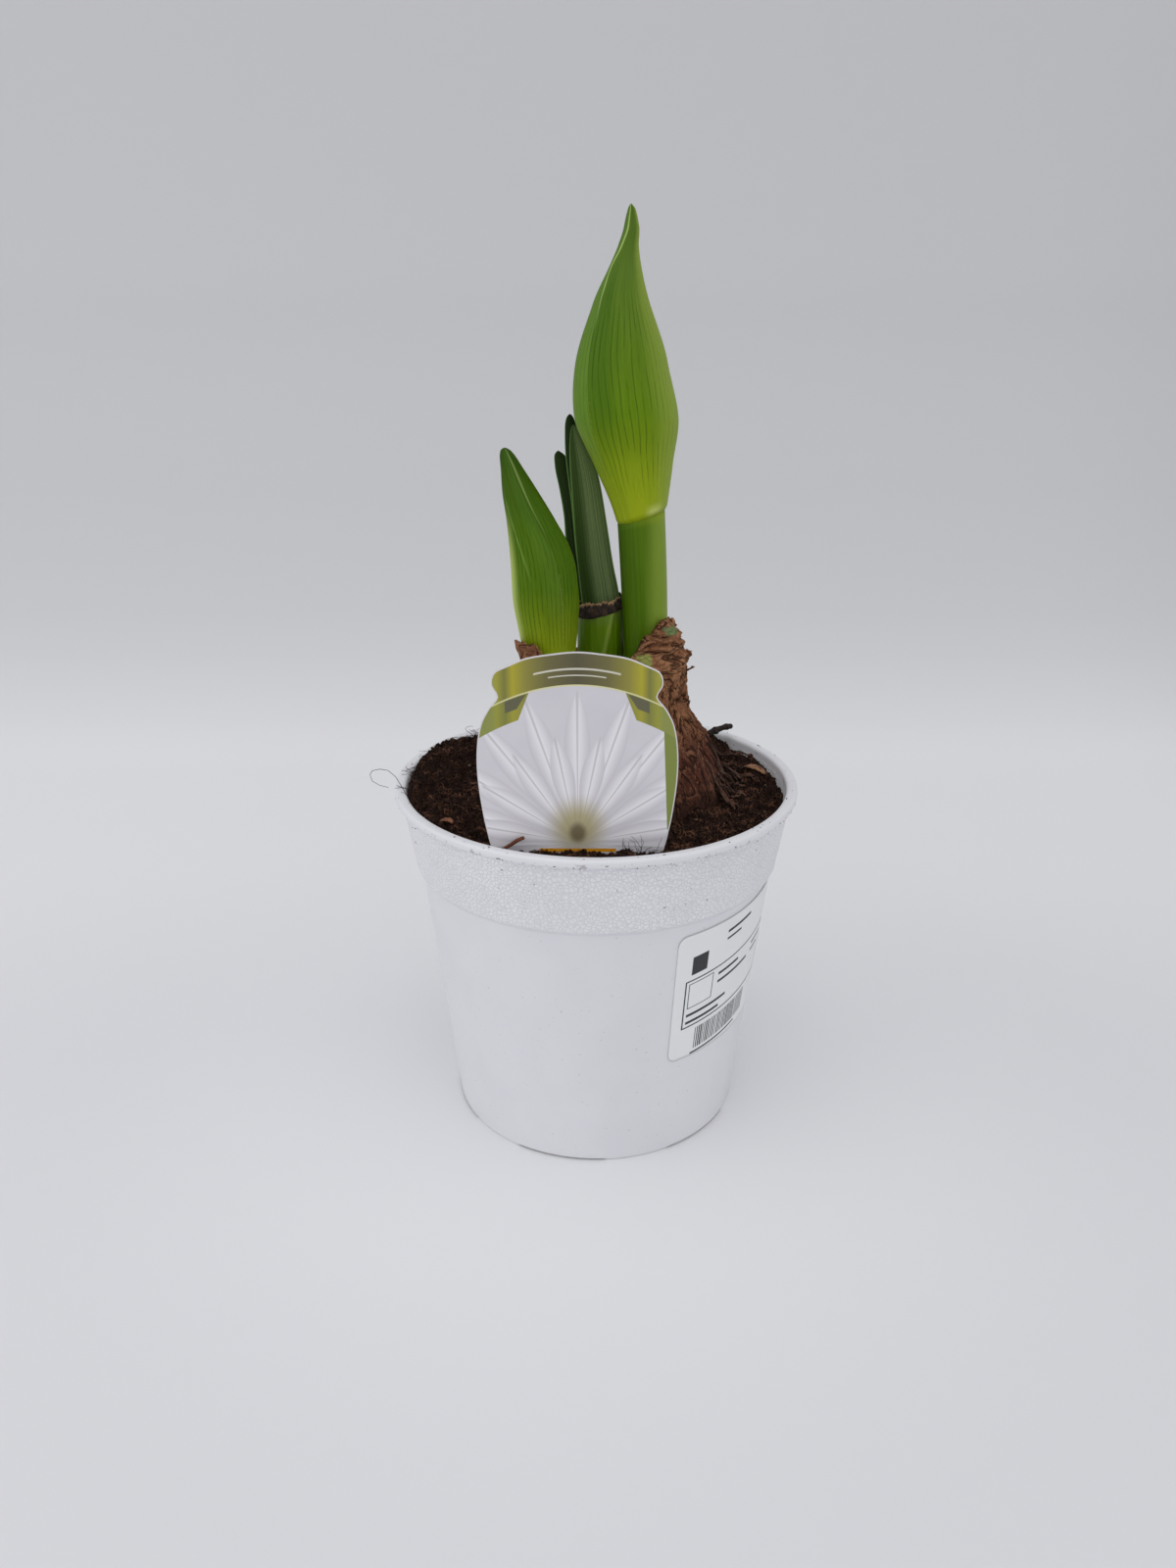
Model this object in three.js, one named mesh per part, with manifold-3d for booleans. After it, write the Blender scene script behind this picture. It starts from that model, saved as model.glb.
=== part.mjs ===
// Potted amaryllis: a bulb with two closed buds and young leaves in a white nursery pot.
// Millimetres, +Z up. The origin lies on the pot's axis, on the surface that it stands on.
// The plant label stands on the -Y side, which is the front.

import * as THREE from 'three';
import { mergeVertices } from 'three/addons/utils/BufferGeometryUtils.js';
import Module from 'manifold-3d';

const wasm = await Module();
wasm.setup();

// Gap left between pieces that touch
const CLEARANCE = 0.3;

// Pot
const POT_HEIGHT = 115;
const RIM_RADIUS = 65;
const RIM_INNER_RADIUS = 61.5;
const LIP_HEIGHT = 2.6;
const LIP_EDGE = 0.8;
const COLLAR_TOP_RADIUS = 63.2;
const STEP_HEIGHT = 89;
const STEP_RADIUS = 59.3;
const STEP_DROP = 1.2;
const BODY_TOP_RADIUS = 57.8;
const BASE_RADIUS = 48.2;
const POT_WALL = 1.2;
const FLOOR_UNDERSIDE = 3;
const FLOOR_TOP = 4.2;
const FOOT_WIDTH = 3.2;
const POT_SEGMENTS = 72;
const NOTCH_COUNT = 6;
const NOTCH_HEIGHT = 1.2;
const NOTCH_SPAN = 34;
const FIRST_NOTCH_BEARING = -14.2;
const DRAIN_HOLE_RADIUS = 4;
const DRAIN_RING_RADIUS = 33;
const DRAIN_HOLE_COUNT = 8;

// Sticker on the pot's side: bearings run from the front towards +X
const STICKER_LEFT_BEARING = 25.4;
const STICKER_BOTTOM = 36.5;
const STICKER_HEIGHT = 47;
const STICKER_WIDTH = 58;
const STICKER_CORNER = 3;
const STICKER_RISE = 0.06;
const STICKER_THICKNESS = 0.5;

// Plant label: a die-cut card that leans back on its stake
const LABEL_CENTRE_X = -5.2;
const LABEL_FRONT_Y = -50;
const LABEL_FOOT_HEIGHT = 110;
const LABEL_LEAN = 2;
const LABEL_THICKNESS = 0.6;
const LABEL_TOP = 59.9;
const STAKE_LENGTH = 46;
// Half outline from the top middle down: [half width, height above the soil]
const LABEL_HALF_OUTLINE = [
  [7.6, 59.2], [14, 58.1], [19.1, 56], [22.6, 54.3], [23.6, 52.3], [23.6, 50.3], [22.1, 47.2],
  [24.6, 43.8], [26.7, 39.8], [27.8, 35.2], [28.3, 29.5], [28.2, 23.5], [27.6, 17.2], [26.2, 8.2],
  [23.6, -1], [17, -8.5], [7.5, -13],
];
const STAKE_HALF_WIDTH = 5.5;

// Potting soil
const SOIL_BOTTOM = FLOOR_TOP + CLEARANCE;
const SOIL_LEVEL = 110.8;
const SOIL_LUMP = 0.9;
const SOIL_SEGMENTS = 48;
const CLOD_X = 40.5;
const CLOD_Y = 37.5;
const CLOD_RADIUS = 7;
const CLOD_HEIGHT = 5.6;

// Bulb: each row is [height, half width across the front, half depth]
const BULB_X = 2.5;
const BULB_Y = 6;
const NECK_Y = 8;
const BULB_BOTTOM = 44;
const BULB_SHOULDER = 104;
const BULB_PROFILE = [
  [44, 13, 13], [50, 26, 26], [62, 36, 36], [80, 41.5, 41.5], [96, 42.3, 42.3], [112, 39.6, 39.6],
  [120, 37.2, 36], [127, 33.2, 30], [134, 28, 23.5], [141, 26.3, 19.5], [150, 26.2, 17.5],
  [158, 24.9, 16.5], [167, 20.2, 14],
];
const BULB_COLUMNS = 44;
const NECK_ROWS = 19;
const NECK_FLOOR = 146;
// Height of the torn upper edge of the papery neck: [degrees from +X, height]
const NECK_EDGE = [
  [-180, 159], [-150, 154], [-110, 149], [-86, 149], [-73, 156], [-62, 160.5], [-50, 163.5],
  [-36, 165.6], [-20, 166.2], [-5, 166], [15, 165], [40, 156], [90, 151], [140, 152], [180, 159],
];
const TUNIC_FOLD = 0.45;
const TUNIC_WRINKLE = 0.7;

// Fleshy roots below the bulb
const ROOT_PLATE_RADIUS = 12;
const ROOT_PLATE_HEIGHT = 4;
const ROOT_COUNT = 8;
const ROOT_RADIUS = 1.7;
const ROOT_DROP = 24;
const ROOT_SPREAD = 34;

// Tall stalk and its bud: rows are [height, centre x, half width]
const TALL_Y = 8;
const TALL_FOOT = 136;
const TALL_JOINT = 197.5;
const TALL_JOINT_SLOPE = 0.33;
const TALL_STALK = [[136, 16.3, 6.6], [153, 15.9, 6.8], [172, 15.2, 7.1], [198, 13.7, 7.3], [204, 13.2, 7.4]];
const TALL_BUD = [
  [192, 14.4, 7.0], [198, 13.5, 7.9], [203, 12.9, 9.1], [214, 11, 12.2], [227, 8.9, 15.5],
  [242, 7.4, 13.5], [258, 7.2, 8.2], [268.3, 8.3, 4.4], [273.4, 9.1, 2.9], [278.4, 9.9, 2.1],
  [282.2, 9.9, 1.2], [283.9, 9.7, 0.5],
];
const BUD_DEPTH = 0.78;
const BUD_COLUMNS = 24;
const TALL_BUD_ROWS = 22;
// Where the outer valve of the spathe overlaps the inner one, in degrees from +X
const TALL_SEAM = [[196, -128], [227, -134], [255, -138], [268, -150], [284, -160]];
const SEAM_STEP = 0.35;

// Short stalk and its bud
const SHORT_Y = 0;
const SHORT_FOOT = 136;
const SHORT_JOINT = 151;
const SHORT_STALK = [[136, -13.6, 6.4], [151, -14.3, 7.2], [156, -14.5, 7.9]];
const SHORT_BUD = [
  [148, -14.2, 7.1], [157, -14.6, 8.2], [165, -15, 9.3], [174, -15.5, 10.2], [183, -16.1, 9.9],
  [189, -17.1, 9.2], [197.8, -19.8, 7.2], [205.8, -22.7, 5.3], [212.7, -25, 3.3], [216.3, -26.2, 2.3],
  [218.7, -27, 1.1],
];
const SHORT_BUD_ROWS = 17;
const SHORT_SEAM = [[150, -55], [183, -60], [205, -75], [219, -80]];

// Strap leaves: rows are [height, centre x, half width], and the depth runs from foot to tip
const LEAF_THICKNESS = 1.4;
const LEAF_CHANNEL = 1.1;
const LEAF_FOOT = 158;
const LEAVES = {
  leaf_front: {
    rows: [
      [158, 1.9, 4.6], [166, 1.8, 5.3], [171, 1.4, 6.1], [183, -0.4, 5.6], [196, -2, 5.1],
      [208, -3.5, 4.4], [216, -5.1, 3.1], [221, -6.3, 1.7], [224, -7, 0.5],
    ],
    depth: [[158, 10], [171, 10], [224, 14]],
    colour: 0x4a6328,
  },
  leaf_middle: {
    rows: [
      [158, 1.9, 5], [171, 1.2, 5.7], [185, -1, 5.4], [199, -3, 4.7], [214, -6, 3.5],
      [221.7, -7.5, 2.2], [224.6, -8, 1.5], [226.8, -8.1, 0.7],
    ],
    depth: [[158, 13], [171, 13], [226.8, 18]],
    colour: 0x2f4d18,
  },
  leaf_left: {
    rows: [
      [158, 1.9, 4.4], [171, 0.8, 5.2], [187, -3, 4.7], [195, -5, 4.4], [204, -8.2, 3.4],
      [210.3, -10.3, 2.6], [212.4, -10.8, 2.3], [214.2, -11.4, 1.7], [215.7, -11.9, 0.7],
    ],
    depth: [[158, 16], [171, 16.2], [215.7, 20.5]],
    colour: 0x3a5c1c,
  },
};
const LEAF_ROWS = 15;
const LEAF_COLUMNS = 6;

// Green sheath round the leaf feet, with its dry torn edge
const SHEATH_X = 1.9;
const SHEATH_Y = 13;
const SHEATH_FOOT = 138;
const SHEATH_TOP = 167.6;
const SHEATH_SLOPE = 0.22;
const SHEATH_HALF_WIDTH = 7.1;
const SHEATH_HALF_DEPTH = 7;
const TORN_EDGE_WALL = 1.3;
const TORN_EDGE_HEIGHT = 3.2;

// Loose bits on the soil
const TWIG_FROM = [39.3, 37.6, 115.9];
const TWIG_TO = [48.8, 40, 118.6];
const TWIG_RADIUS = 1.25;
const FLAKE = { x: 53.5, y: 17, length: 9.5, width: 3.4, turn: -38, arch: 1.3 };
const CHIP = { x: -45.2, y: -32.1, length: 4.2, width: 2, turn: -25, arch: 0.5 };
const FLAKE_THICKNESS = 0.7;

const DEGREE = Math.PI / 180;

// Helpers: numbers

function mix(from, to, share) {
  return from + (to - from) * share;
}

function smooth(share) {
  const t = Math.min(Math.max(share, 0), 1);
  return t * t * (3 - 2 * t);
}

// A smooth line through [position, value] pairs that never overshoots them
function through(pairs) {
  const rise = (i) => (pairs[i + 1][1] - pairs[i][1]) / (pairs[i + 1][0] - pairs[i][0]);
  const slope = (i) => {
    if (i === 0) return rise(0);
    if (i === pairs.length - 1) return rise(i - 1);
    const before = rise(i - 1);
    const after = rise(i);
    return before * after <= 0 ? 0 : (2 * before * after) / (before + after);
  };
  return (position) => {
    let i = 0;
    while (i < pairs.length - 2 && position > pairs[i + 1][0]) i += 1;
    const span = pairs[i + 1][0] - pairs[i][0];
    const t = Math.min(Math.max((position - pairs[i][0]) / span, 0), 1);
    const square = t * t;
    const cube = square * t;
    const start = (2 * cube - 3 * square + 1) * pairs[i][1] + (cube - 2 * square + t) * span * slope(i);
    const end = (3 * square - 2 * cube) * pairs[i + 1][1] + (cube - square) * span * slope(i + 1);
    return start + end;
  };
}

// One column of a table of rows, as a smooth line over the first column
function column(rows, index) {
  return through(rows.map((row) => [row[0], row[index]]));
}

// A repeatable draw between 0 and 1 for a grid cell
function draw(i, j, seed) {
  const value = Math.sin(i * 127.1 + j * 311.7 + seed * 74.7) * 43758.5453;
  return value - Math.floor(value);
}

// Smooth bumps between -1 and 1, about one unit apart
function bumps(x, y, seed) {
  const i = Math.floor(x);
  const j = Math.floor(y);
  const u = smooth(x - i);
  const v = smooth(y - j);
  const low = mix(draw(i, j, seed), draw(i + 1, j, seed), u);
  const high = mix(draw(i, j + 1, seed), draw(i + 1, j + 1, seed), u);
  return 2 * mix(low, high, v) - 1;
}

function steps(count) {
  return Array.from({ length: count + 1 }, (_, i) => i / count);
}

// Helpers: solids

// Indexed positions only, with the faces turned outwards
function closedMesh(geometry) {
  geometry.deleteAttribute('normal');
  geometry.deleteAttribute('uv');
  const merged = mergeVertices(geometry, 1e-4);
  const position = merged.attributes.position;
  const index = Array.from(merged.index.array);
  const [a, b, c] = [new THREE.Vector3(), new THREE.Vector3(), new THREE.Vector3()];
  const triangles = [];
  let volume = 0;
  for (let i = 0; i < index.length; i += 3) {
    const [p, q, r] = index.slice(i, i + 3);
    if (p === q || q === r || r === p) continue;
    a.fromBufferAttribute(position, p);
    b.fromBufferAttribute(position, q);
    c.fromBufferAttribute(position, r);
    volume += a.dot(b.cross(c));
    triangles.push([p, q, r]);
  }
  const facing = volume < 0 ? triangles.map(([p, q, r]) => [p, r, q]) : triangles;
  merged.setIndex(facing.flat());
  return merged;
}

function solid(geometry) {
  const mesh = closedMesh(geometry);
  return new wasm.Manifold(new wasm.Mesh({
    numProp: 3,
    vertProperties: new Float32Array(mesh.attributes.position.array),
    triVerts: new Uint32Array(mesh.index.array),
  }));
}

// The largest body of a cut solid, as a geometry
function geometryOf(body) {
  const largest = body.decompose().sort((one, other) => other.volume() - one.volume())[0];
  const mesh = largest.getMesh();
  const geometry = new THREE.BufferGeometry();
  geometry.setAttribute('position', new THREE.BufferAttribute(mesh.vertProperties, 3));
  geometry.setIndex(new THREE.BufferAttribute(mesh.triVerts, 1));
  return geometry;
}

function cut(body, ...cutters) {
  return cutters.reduce((rest, cutter) => rest.subtract(cutter), body);
}

function join(bodies) {
  return bodies.reduce((whole, body) => whole.add(body));
}

function indexed(points, index) {
  const geometry = new THREE.BufferGeometry().setFromPoints(points);
  geometry.setIndex(index);
  return geometry;
}

// A closed skin over rings of points, with a fan of triangles at each end
function skin(rings) {
  const count = rings[0].length;
  const last = (rings.length - 1) * count;
  const points = rings.flat();
  const middle = (ring) => ring.reduce((sum, p) => sum.add(p), new THREE.Vector3()).divideScalar(count);
  points.push(middle(rings[0]), middle(rings[rings.length - 1]));
  const foot = points.length - 2;
  const head = points.length - 1;
  const index = [];
  for (let j = 0; j < count; j += 1) {
    const next = (j + 1) % count;
    for (let ring = 0; ring < last; ring += count) {
      index.push(ring + j, ring + next, ring + count + next);
      index.push(ring + j, ring + count + next, ring + count + j);
    }
    index.push(foot, next, j, head, last + j, last + next);
  }
  return indexed(points, index);
}

// Rings of points at shares of the way up, placed by a function of share and angle
function loft(rows, columns, pointAt) {
  const angles = steps(columns).slice(0, -1).map((share) => share * 2 * Math.PI);
  return skin(steps(rows).map((share) => angles.map((angle) => pointAt(share, angle))));
}

// A thin blade between two matching grids of points, closed round its edge
function blade(rows, columns, faceAt) {
  const points = [];
  for (const side of [1, -1]) {
    for (const u of steps(rows)) {
      for (const v of steps(columns)) points.push(faceAt(u, v, side));
    }
  }
  const width = columns + 1;
  const back = points.length / 2;
  const index = [];
  for (let i = 0; i < rows; i += 1) {
    for (let j = 0; j < columns; j += 1) {
      const a = i * width + j;
      const c = a + width + 1;
      index.push(a, a + 1, c, a, c, c - 1);
      index.push(back + a, back + c, back + a + 1, back + a, back + c - 1, back + c);
    }
  }
  const edge = [];
  for (let j = 0; j < columns; j += 1) edge.push(j);
  for (let i = 0; i < rows; i += 1) edge.push(i * width + columns);
  for (let j = columns; j > 0; j -= 1) edge.push(rows * width + j);
  for (let i = rows; i > 0; i -= 1) edge.push(i * width);
  edge.forEach((p, k) => {
    const q = edge[(k + 1) % edge.length];
    index.push(q, p, back + p, q, back + p, back + q);
  });
  return indexed(points, index);
}

// A round bar that tapers along a curve
function taperedBar(curve, lengthSteps, sides, radiusAt) {
  const frames = curve.computeFrenetFrames(lengthSteps, false);
  const rings = steps(lengthSteps).map((share, i) => {
    const centre = curve.getPointAt(share);
    return steps(sides).slice(0, -1).map((part) => {
      const angle = part * 2 * Math.PI;
      return centre.clone()
        .addScaledVector(frames.normals[i], Math.cos(angle) * radiusAt(share))
        .addScaledVector(frames.binormals[i], Math.sin(angle) * radiusAt(share));
    });
  });
  return skin(rings);
}

// Pot

function potProfile() {
  const lipBottom = POT_HEIGHT - LIP_HEIGHT;
  const innerBase = BASE_RADIUS - POT_WALL + 0.4;
  return [
    [0, FLOOR_UNDERSIDE],
    [BASE_RADIUS - FOOT_WIDTH, FLOOR_UNDERSIDE],
    [BASE_RADIUS - FOOT_WIDTH, 0],
    [BASE_RADIUS, 0],
    [BODY_TOP_RADIUS, STEP_HEIGHT - STEP_DROP],
    [STEP_RADIUS, STEP_HEIGHT],
    [COLLAR_TOP_RADIUS, lipBottom],
    [RIM_RADIUS - LIP_EDGE / 2, lipBottom],
    [RIM_RADIUS, lipBottom + LIP_EDGE / 2],
    [RIM_RADIUS, POT_HEIGHT - LIP_EDGE],
    [RIM_RADIUS - LIP_EDGE, POT_HEIGHT],
    [RIM_INNER_RADIUS + LIP_EDGE, POT_HEIGHT],
    [RIM_INNER_RADIUS, POT_HEIGHT - LIP_EDGE],
    [STEP_RADIUS - POT_WALL, STEP_HEIGHT],
    [BODY_TOP_RADIUS - POT_WALL, STEP_HEIGHT - STEP_DROP],
    [innerBase, FLOOR_TOP],
    [0, FLOOR_TOP],
  ].map(([radius, height]) => new THREE.Vector2(radius, height));
}

// A block over part of the foot ring, centred on a bearing from the front
function notchCutter(bearing) {
  const middle = (bearing - 90) * DEGREE;
  const half = NOTCH_SPAN / 2 * DEGREE;
  const outline = new THREE.Shape();
  outline.absarc(0, 0, BASE_RADIUS + 2, middle - half, middle + half, false);
  outline.absarc(0, 0, BASE_RADIUS - FOOT_WIDTH - 1, middle + half, middle - half, true);
  const block = new THREE.ExtrudeGeometry(outline, {
    depth: 2 * NOTCH_HEIGHT,
    bevelEnabled: false,
    curveSegments: 6,
  });
  block.translate(0, 0, -NOTCH_HEIGHT);
  return solid(block);
}

function drainCutter(x, y) {
  const bar = new THREE.CylinderGeometry(DRAIN_HOLE_RADIUS, DRAIN_HOLE_RADIUS, 4 * FLOOR_TOP, 12);
  bar.rotateX(Math.PI / 2);
  bar.translate(x, y, FLOOR_TOP);
  return solid(bar);
}

function pot() {
  const shell = new THREE.LatheGeometry(potProfile(), POT_SEGMENTS);
  shell.rotateX(Math.PI / 2);
  const cutters = [drainCutter(0, 0)];
  for (let i = 0; i < DRAIN_HOLE_COUNT; i += 1) {
    const angle = i / DRAIN_HOLE_COUNT * 2 * Math.PI;
    cutters.push(drainCutter(DRAIN_RING_RADIUS * Math.cos(angle), DRAIN_RING_RADIUS * Math.sin(angle)));
  }
  for (let i = 0; i < NOTCH_COUNT; i += 1) {
    cutters.push(notchCutter(FIRST_NOTCH_BEARING + i * 360 / NOTCH_COUNT));
  }
  return geometryOf(cut(solid(shell), ...cutters));
}

// Radius of the pot's outer wall below the collar
function bodyRadius(height) {
  return mix(BASE_RADIUS, BODY_TOP_RADIUS, height / (STEP_HEIGHT - STEP_DROP));
}

// Radius of the pot's inner wall
function innerRadius(height) {
  if (height < STEP_HEIGHT - STEP_DROP) return bodyRadius(height) - POT_WALL;
  const share = (height - STEP_HEIGHT) / (POT_HEIGHT - LIP_EDGE - STEP_HEIGHT);
  return mix(STEP_RADIUS - POT_WALL, RIM_INNER_RADIUS, Math.max(share, 0));
}

// Sticker

// How far a rounded rectangle's end is drawn in, at a distance from that end
function cornerInset(distance) {
  if (distance >= STICKER_CORNER) return 0;
  const reach = STICKER_CORNER - distance;
  return STICKER_CORNER - Math.sqrt(STICKER_CORNER ** 2 - reach ** 2);
}

function sticker() {
  const cornerSteps = [0, 0.04, 0.15, 0.4, 1].map((share) => share * STICKER_CORNER / STICKER_WIDTH);
  const middleSteps = steps(12).slice(1, -1).map((share) => mix(cornerSteps[4], 1 - cornerSteps[4], share));
  const across = [...cornerSteps, ...middleSteps, ...cornerSteps.map((share) => 1 - share).reverse()];
  const faceAt = (u, v, side) => {
    const along = across[Math.round(v * (across.length - 1))] * STICKER_WIDTH;
    const inset = cornerInset(Math.min(along, STICKER_WIDTH - along));
    const height = STICKER_BOTTOM + mix(inset, STICKER_HEIGHT - inset, u) + along * STICKER_RISE;
    const offset = side > 0 ? CLEARANCE + STICKER_THICKNESS : CLEARANCE;
    const bearing = STICKER_LEFT_BEARING * DEGREE + along / bodyRadius(STICKER_BOTTOM + STICKER_HEIGHT / 2);
    const radius = bodyRadius(height) + offset;
    return new THREE.Vector3(radius * Math.sin(bearing), -radius * Math.cos(bearing), height);
  };
  return closedMesh(blade(3, across.length - 1, faceAt));
}

// Label

function labelShape(grow) {
  const right = LABEL_HALF_OUTLINE.map(([x, y]) => new THREE.Vector2(x + grow, y));
  right.push(new THREE.Vector2(STAKE_HALF_WIDTH + grow, -17));
  right.push(new THREE.Vector2(STAKE_HALF_WIDTH * 0.8 + grow, 12 - STAKE_LENGTH));
  right.push(new THREE.Vector2(1 + grow, -STAKE_LENGTH - grow));
  const left = right.map((p) => new THREE.Vector2(-p.x, p.y)).reverse();
  return new THREE.Shape([new THREE.Vector2(0, LABEL_TOP + grow), ...right, ...left]);
}

function label(grow) {
  const card = new THREE.ExtrudeGeometry(labelShape(grow), {
    depth: LABEL_THICKNESS + 2 * grow,
    bevelEnabled: false,
  });
  card.translate(0, 0, -LABEL_THICKNESS / 2 - grow);
  card.rotateX((90 - LABEL_LEAN) * DEGREE);
  card.translate(LABEL_CENTRE_X, LABEL_FRONT_Y, LABEL_FOOT_HEIGHT);
  return card;
}

// Soil

function soilHeight(x, y) {
  const edge = Math.hypot(x, y) / RIM_INNER_RADIUS;
  const left = smooth((-x + 0.6 * y) / RIM_RADIUS) * smooth(edge);
  const right = smooth((x + 0.4 * y) / RIM_RADIUS) * smooth(edge);
  const clod = Math.exp(-(((x - CLOD_X) ** 2 + (y - CLOD_Y) ** 2) / CLOD_RADIUS ** 2));
  const lumps = bumps(x / 9, y / 9, 1) + 0.6 * bumps(x / 4, y / 4, 2);
  return SOIL_LEVEL + 2.4 * left - 1.4 * right + CLOD_HEIGHT * clod + SOIL_LUMP * lumps * (1 - 0.6 * edge);
}

function soilRing(radiusAt, heightAt) {
  return steps(SOIL_SEGMENTS).slice(0, -1).map((share) => {
    const angle = share * 2 * Math.PI;
    const x = radiusAt(angle) * Math.cos(angle);
    const y = radiusAt(angle) * Math.sin(angle);
    return new THREE.Vector3(x, y, heightAt(x, y));
  });
}

function soilBody() {
  // The wall is a polygon of flats, so the soil keeps clear of the flats' middles
  const sag = Math.cos(Math.PI / POT_SEGMENTS);
  const wall = (height) => () => innerRadius(height) * sag - CLEARANCE;
  const stepTop = STEP_HEIGHT + 0.5;
  const stepFoot = STEP_HEIGHT - STEP_DROP - 0.5;
  const edgeRadius = wall(SOIL_LEVEL - 3)();
  const rings = [
    soilRing(wall(SOIL_BOTTOM), () => SOIL_BOTTOM),
    soilRing(wall(stepFoot), () => stepFoot),
    soilRing(wall(stepTop - 2), () => stepTop),
  ];
  for (const share of [1, 0.96, 0.91, 0.85, 0.79, 0.73, 0.67, 0.6, 0.5, 0.3]) {
    rings.push(soilRing(() => edgeRadius * share, soilHeight));
  }
  return skin(rings);
}

// Bulb

const bulbHalfWidth = column(BULB_PROFILE, 1);
const bulbHalfDepth = column(BULB_PROFILE, 2);
const neckEdge = through(NECK_EDGE);

function neckTop(angle) {
  const degrees = Math.atan2(Math.sin(angle), Math.cos(angle)) / DEGREE;
  const tear = bumps(angle * 5, 3, 4) + 0.5 * bumps(angle * 11, 5, 5);
  return neckEdge(degrees) + 1.1 * tear * smooth(Math.abs(Math.abs(degrees) - 180) / 12);
}

// Folds run up the tunic, and the dry neck is wrinkled across
function tunicRelief(height, angle) {
  const folds = Math.sin(9 * angle + 1.3 * Math.sin(height / 17)) + 0.7 * Math.sin(17 * angle + height / 23);
  const neck = smooth((height - 122) / 16);
  const wrinkles = Math.sin(height * 1.45 + 1.6 * Math.sin(3 * angle)) + bumps(angle * 6, height / 3, 7);
  return TUNIC_FOLD * folds * smooth((height - BULB_BOTTOM) / 20) + TUNIC_WRINKLE * neck * wrinkles;
}

function bulbPoint(height, angle, inward, grow) {
  const centreY = mix(BULB_Y, NECK_Y, smooth((height - 112) / 28));
  const relief = tunicRelief(height, angle) + grow;
  const x = (bulbHalfWidth(height) + relief) * inward * Math.cos(angle);
  const y = (bulbHalfDepth(height) + relief) * inward * Math.sin(angle);
  return new THREE.Vector3(BULB_X + x, centreY + y, height);
}

function bulbBody(grow) {
  const angles = steps(BULB_COLUMNS).slice(0, -1).map((share) => share * 2 * Math.PI);
  const rings = steps(8).slice(0, -1).map((share) => {
    const height = mix(BULB_BOTTOM, BULB_SHOULDER, share ** 1.4);
    return angles.map((angle) => bulbPoint(height, angle, 1, grow));
  });
  rings[0].forEach((point) => point.setZ(BULB_BOTTOM - grow));
  for (const share of steps(NECK_ROWS)) {
    rings.push(angles.map((angle) => bulbPoint(mix(BULB_SHOULDER, neckTop(angle), share), angle, 1, grow)));
  }
  for (const inward of [0.9, 0.72, 0.5, 0.25]) {
    rings.push(angles.map((angle) => {
      const edge = neckTop(angle);
      const point = bulbPoint(edge, angle, inward, grow);
      return point.setZ(mix(NECK_FLOOR, edge - 0.6, smooth((inward - 0.2) / 0.75)));
    }));
  }
  return skin(rings);
}

// Roots

function rootCurve(turn, reach) {
  const out = new THREE.Vector3(Math.cos(turn), Math.sin(turn), 0);
  const side = new THREE.Vector3(-Math.sin(turn), Math.cos(turn), 0);
  const top = BULB_BOTTOM - CLEARANCE - ROOT_PLATE_HEIGHT / 2;
  const spots = [[0.2, 0, 0], [0.5, 0.05, 0.1], [0.8, 0.1, 0.5], [1, -0.05, 1]];
  const points = spots.map(([far, sway, down]) => new THREE.Vector3(BULB_X, BULB_Y, top - down * ROOT_DROP)
    .addScaledVector(out, far * reach)
    .addScaledVector(side, sway * reach));
  return new THREE.CatmullRomCurve3(points);
}

function roots(grow) {
  const top = BULB_BOTTOM - CLEARANCE + grow;
  const height = ROOT_PLATE_HEIGHT + 2 * grow;
  const plate = new THREE.CylinderGeometry(ROOT_PLATE_RADIUS + grow, ROOT_PLATE_RADIUS - 2 + grow, height, 18);
  plate.rotateX(Math.PI / 2);
  plate.translate(BULB_X, BULB_Y, top - height / 2);
  const bodies = [solid(plate)];
  for (let i = 0; i < ROOT_COUNT; i += 1) {
    const turn = (i + 0.3 * draw(i, 1, 6)) / ROOT_COUNT * 2 * Math.PI;
    const reach = ROOT_SPREAD * mix(0.75, 1, draw(i, 2, 6));
    bodies.push(solid(taperedBar(rootCurve(turn, reach), 6, 6, (share) => mix(ROOT_RADIUS, 0.7, share) + grow)));
  }
  return join(bodies);
}

// Stalks and buds

// An upright round body over [height, centre x, half width] rows
function stalk(rows, centreY, footAt, topAt, grow) {
  const centre = column(rows, 1);
  const half = column(rows, 2);
  return loft(4, 20, (share, angle) => {
    const across = Math.cos(angle);
    const height = mix(footAt - grow, topAt(across), share);
    const radius = half(height) + grow;
    const x = centre(height) + radius * across;
    return new THREE.Vector3(x, centreY + 0.94 * radius * Math.sin(angle), height);
  });
}

function tallStalk(grow) {
  const half = column(TALL_STALK, 2)(TALL_JOINT);
  const top = (across) => TALL_JOINT + TALL_JOINT_SLOPE * half * across - CLEARANCE;
  return stalk(TALL_STALK, TALL_Y, TALL_FOOT, top, grow);
}

function shortStalk(grow) {
  return stalk(SHORT_STALK, SHORT_Y, SHORT_FOOT, () => SHORT_JOINT - CLEARANCE, grow);
}

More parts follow.
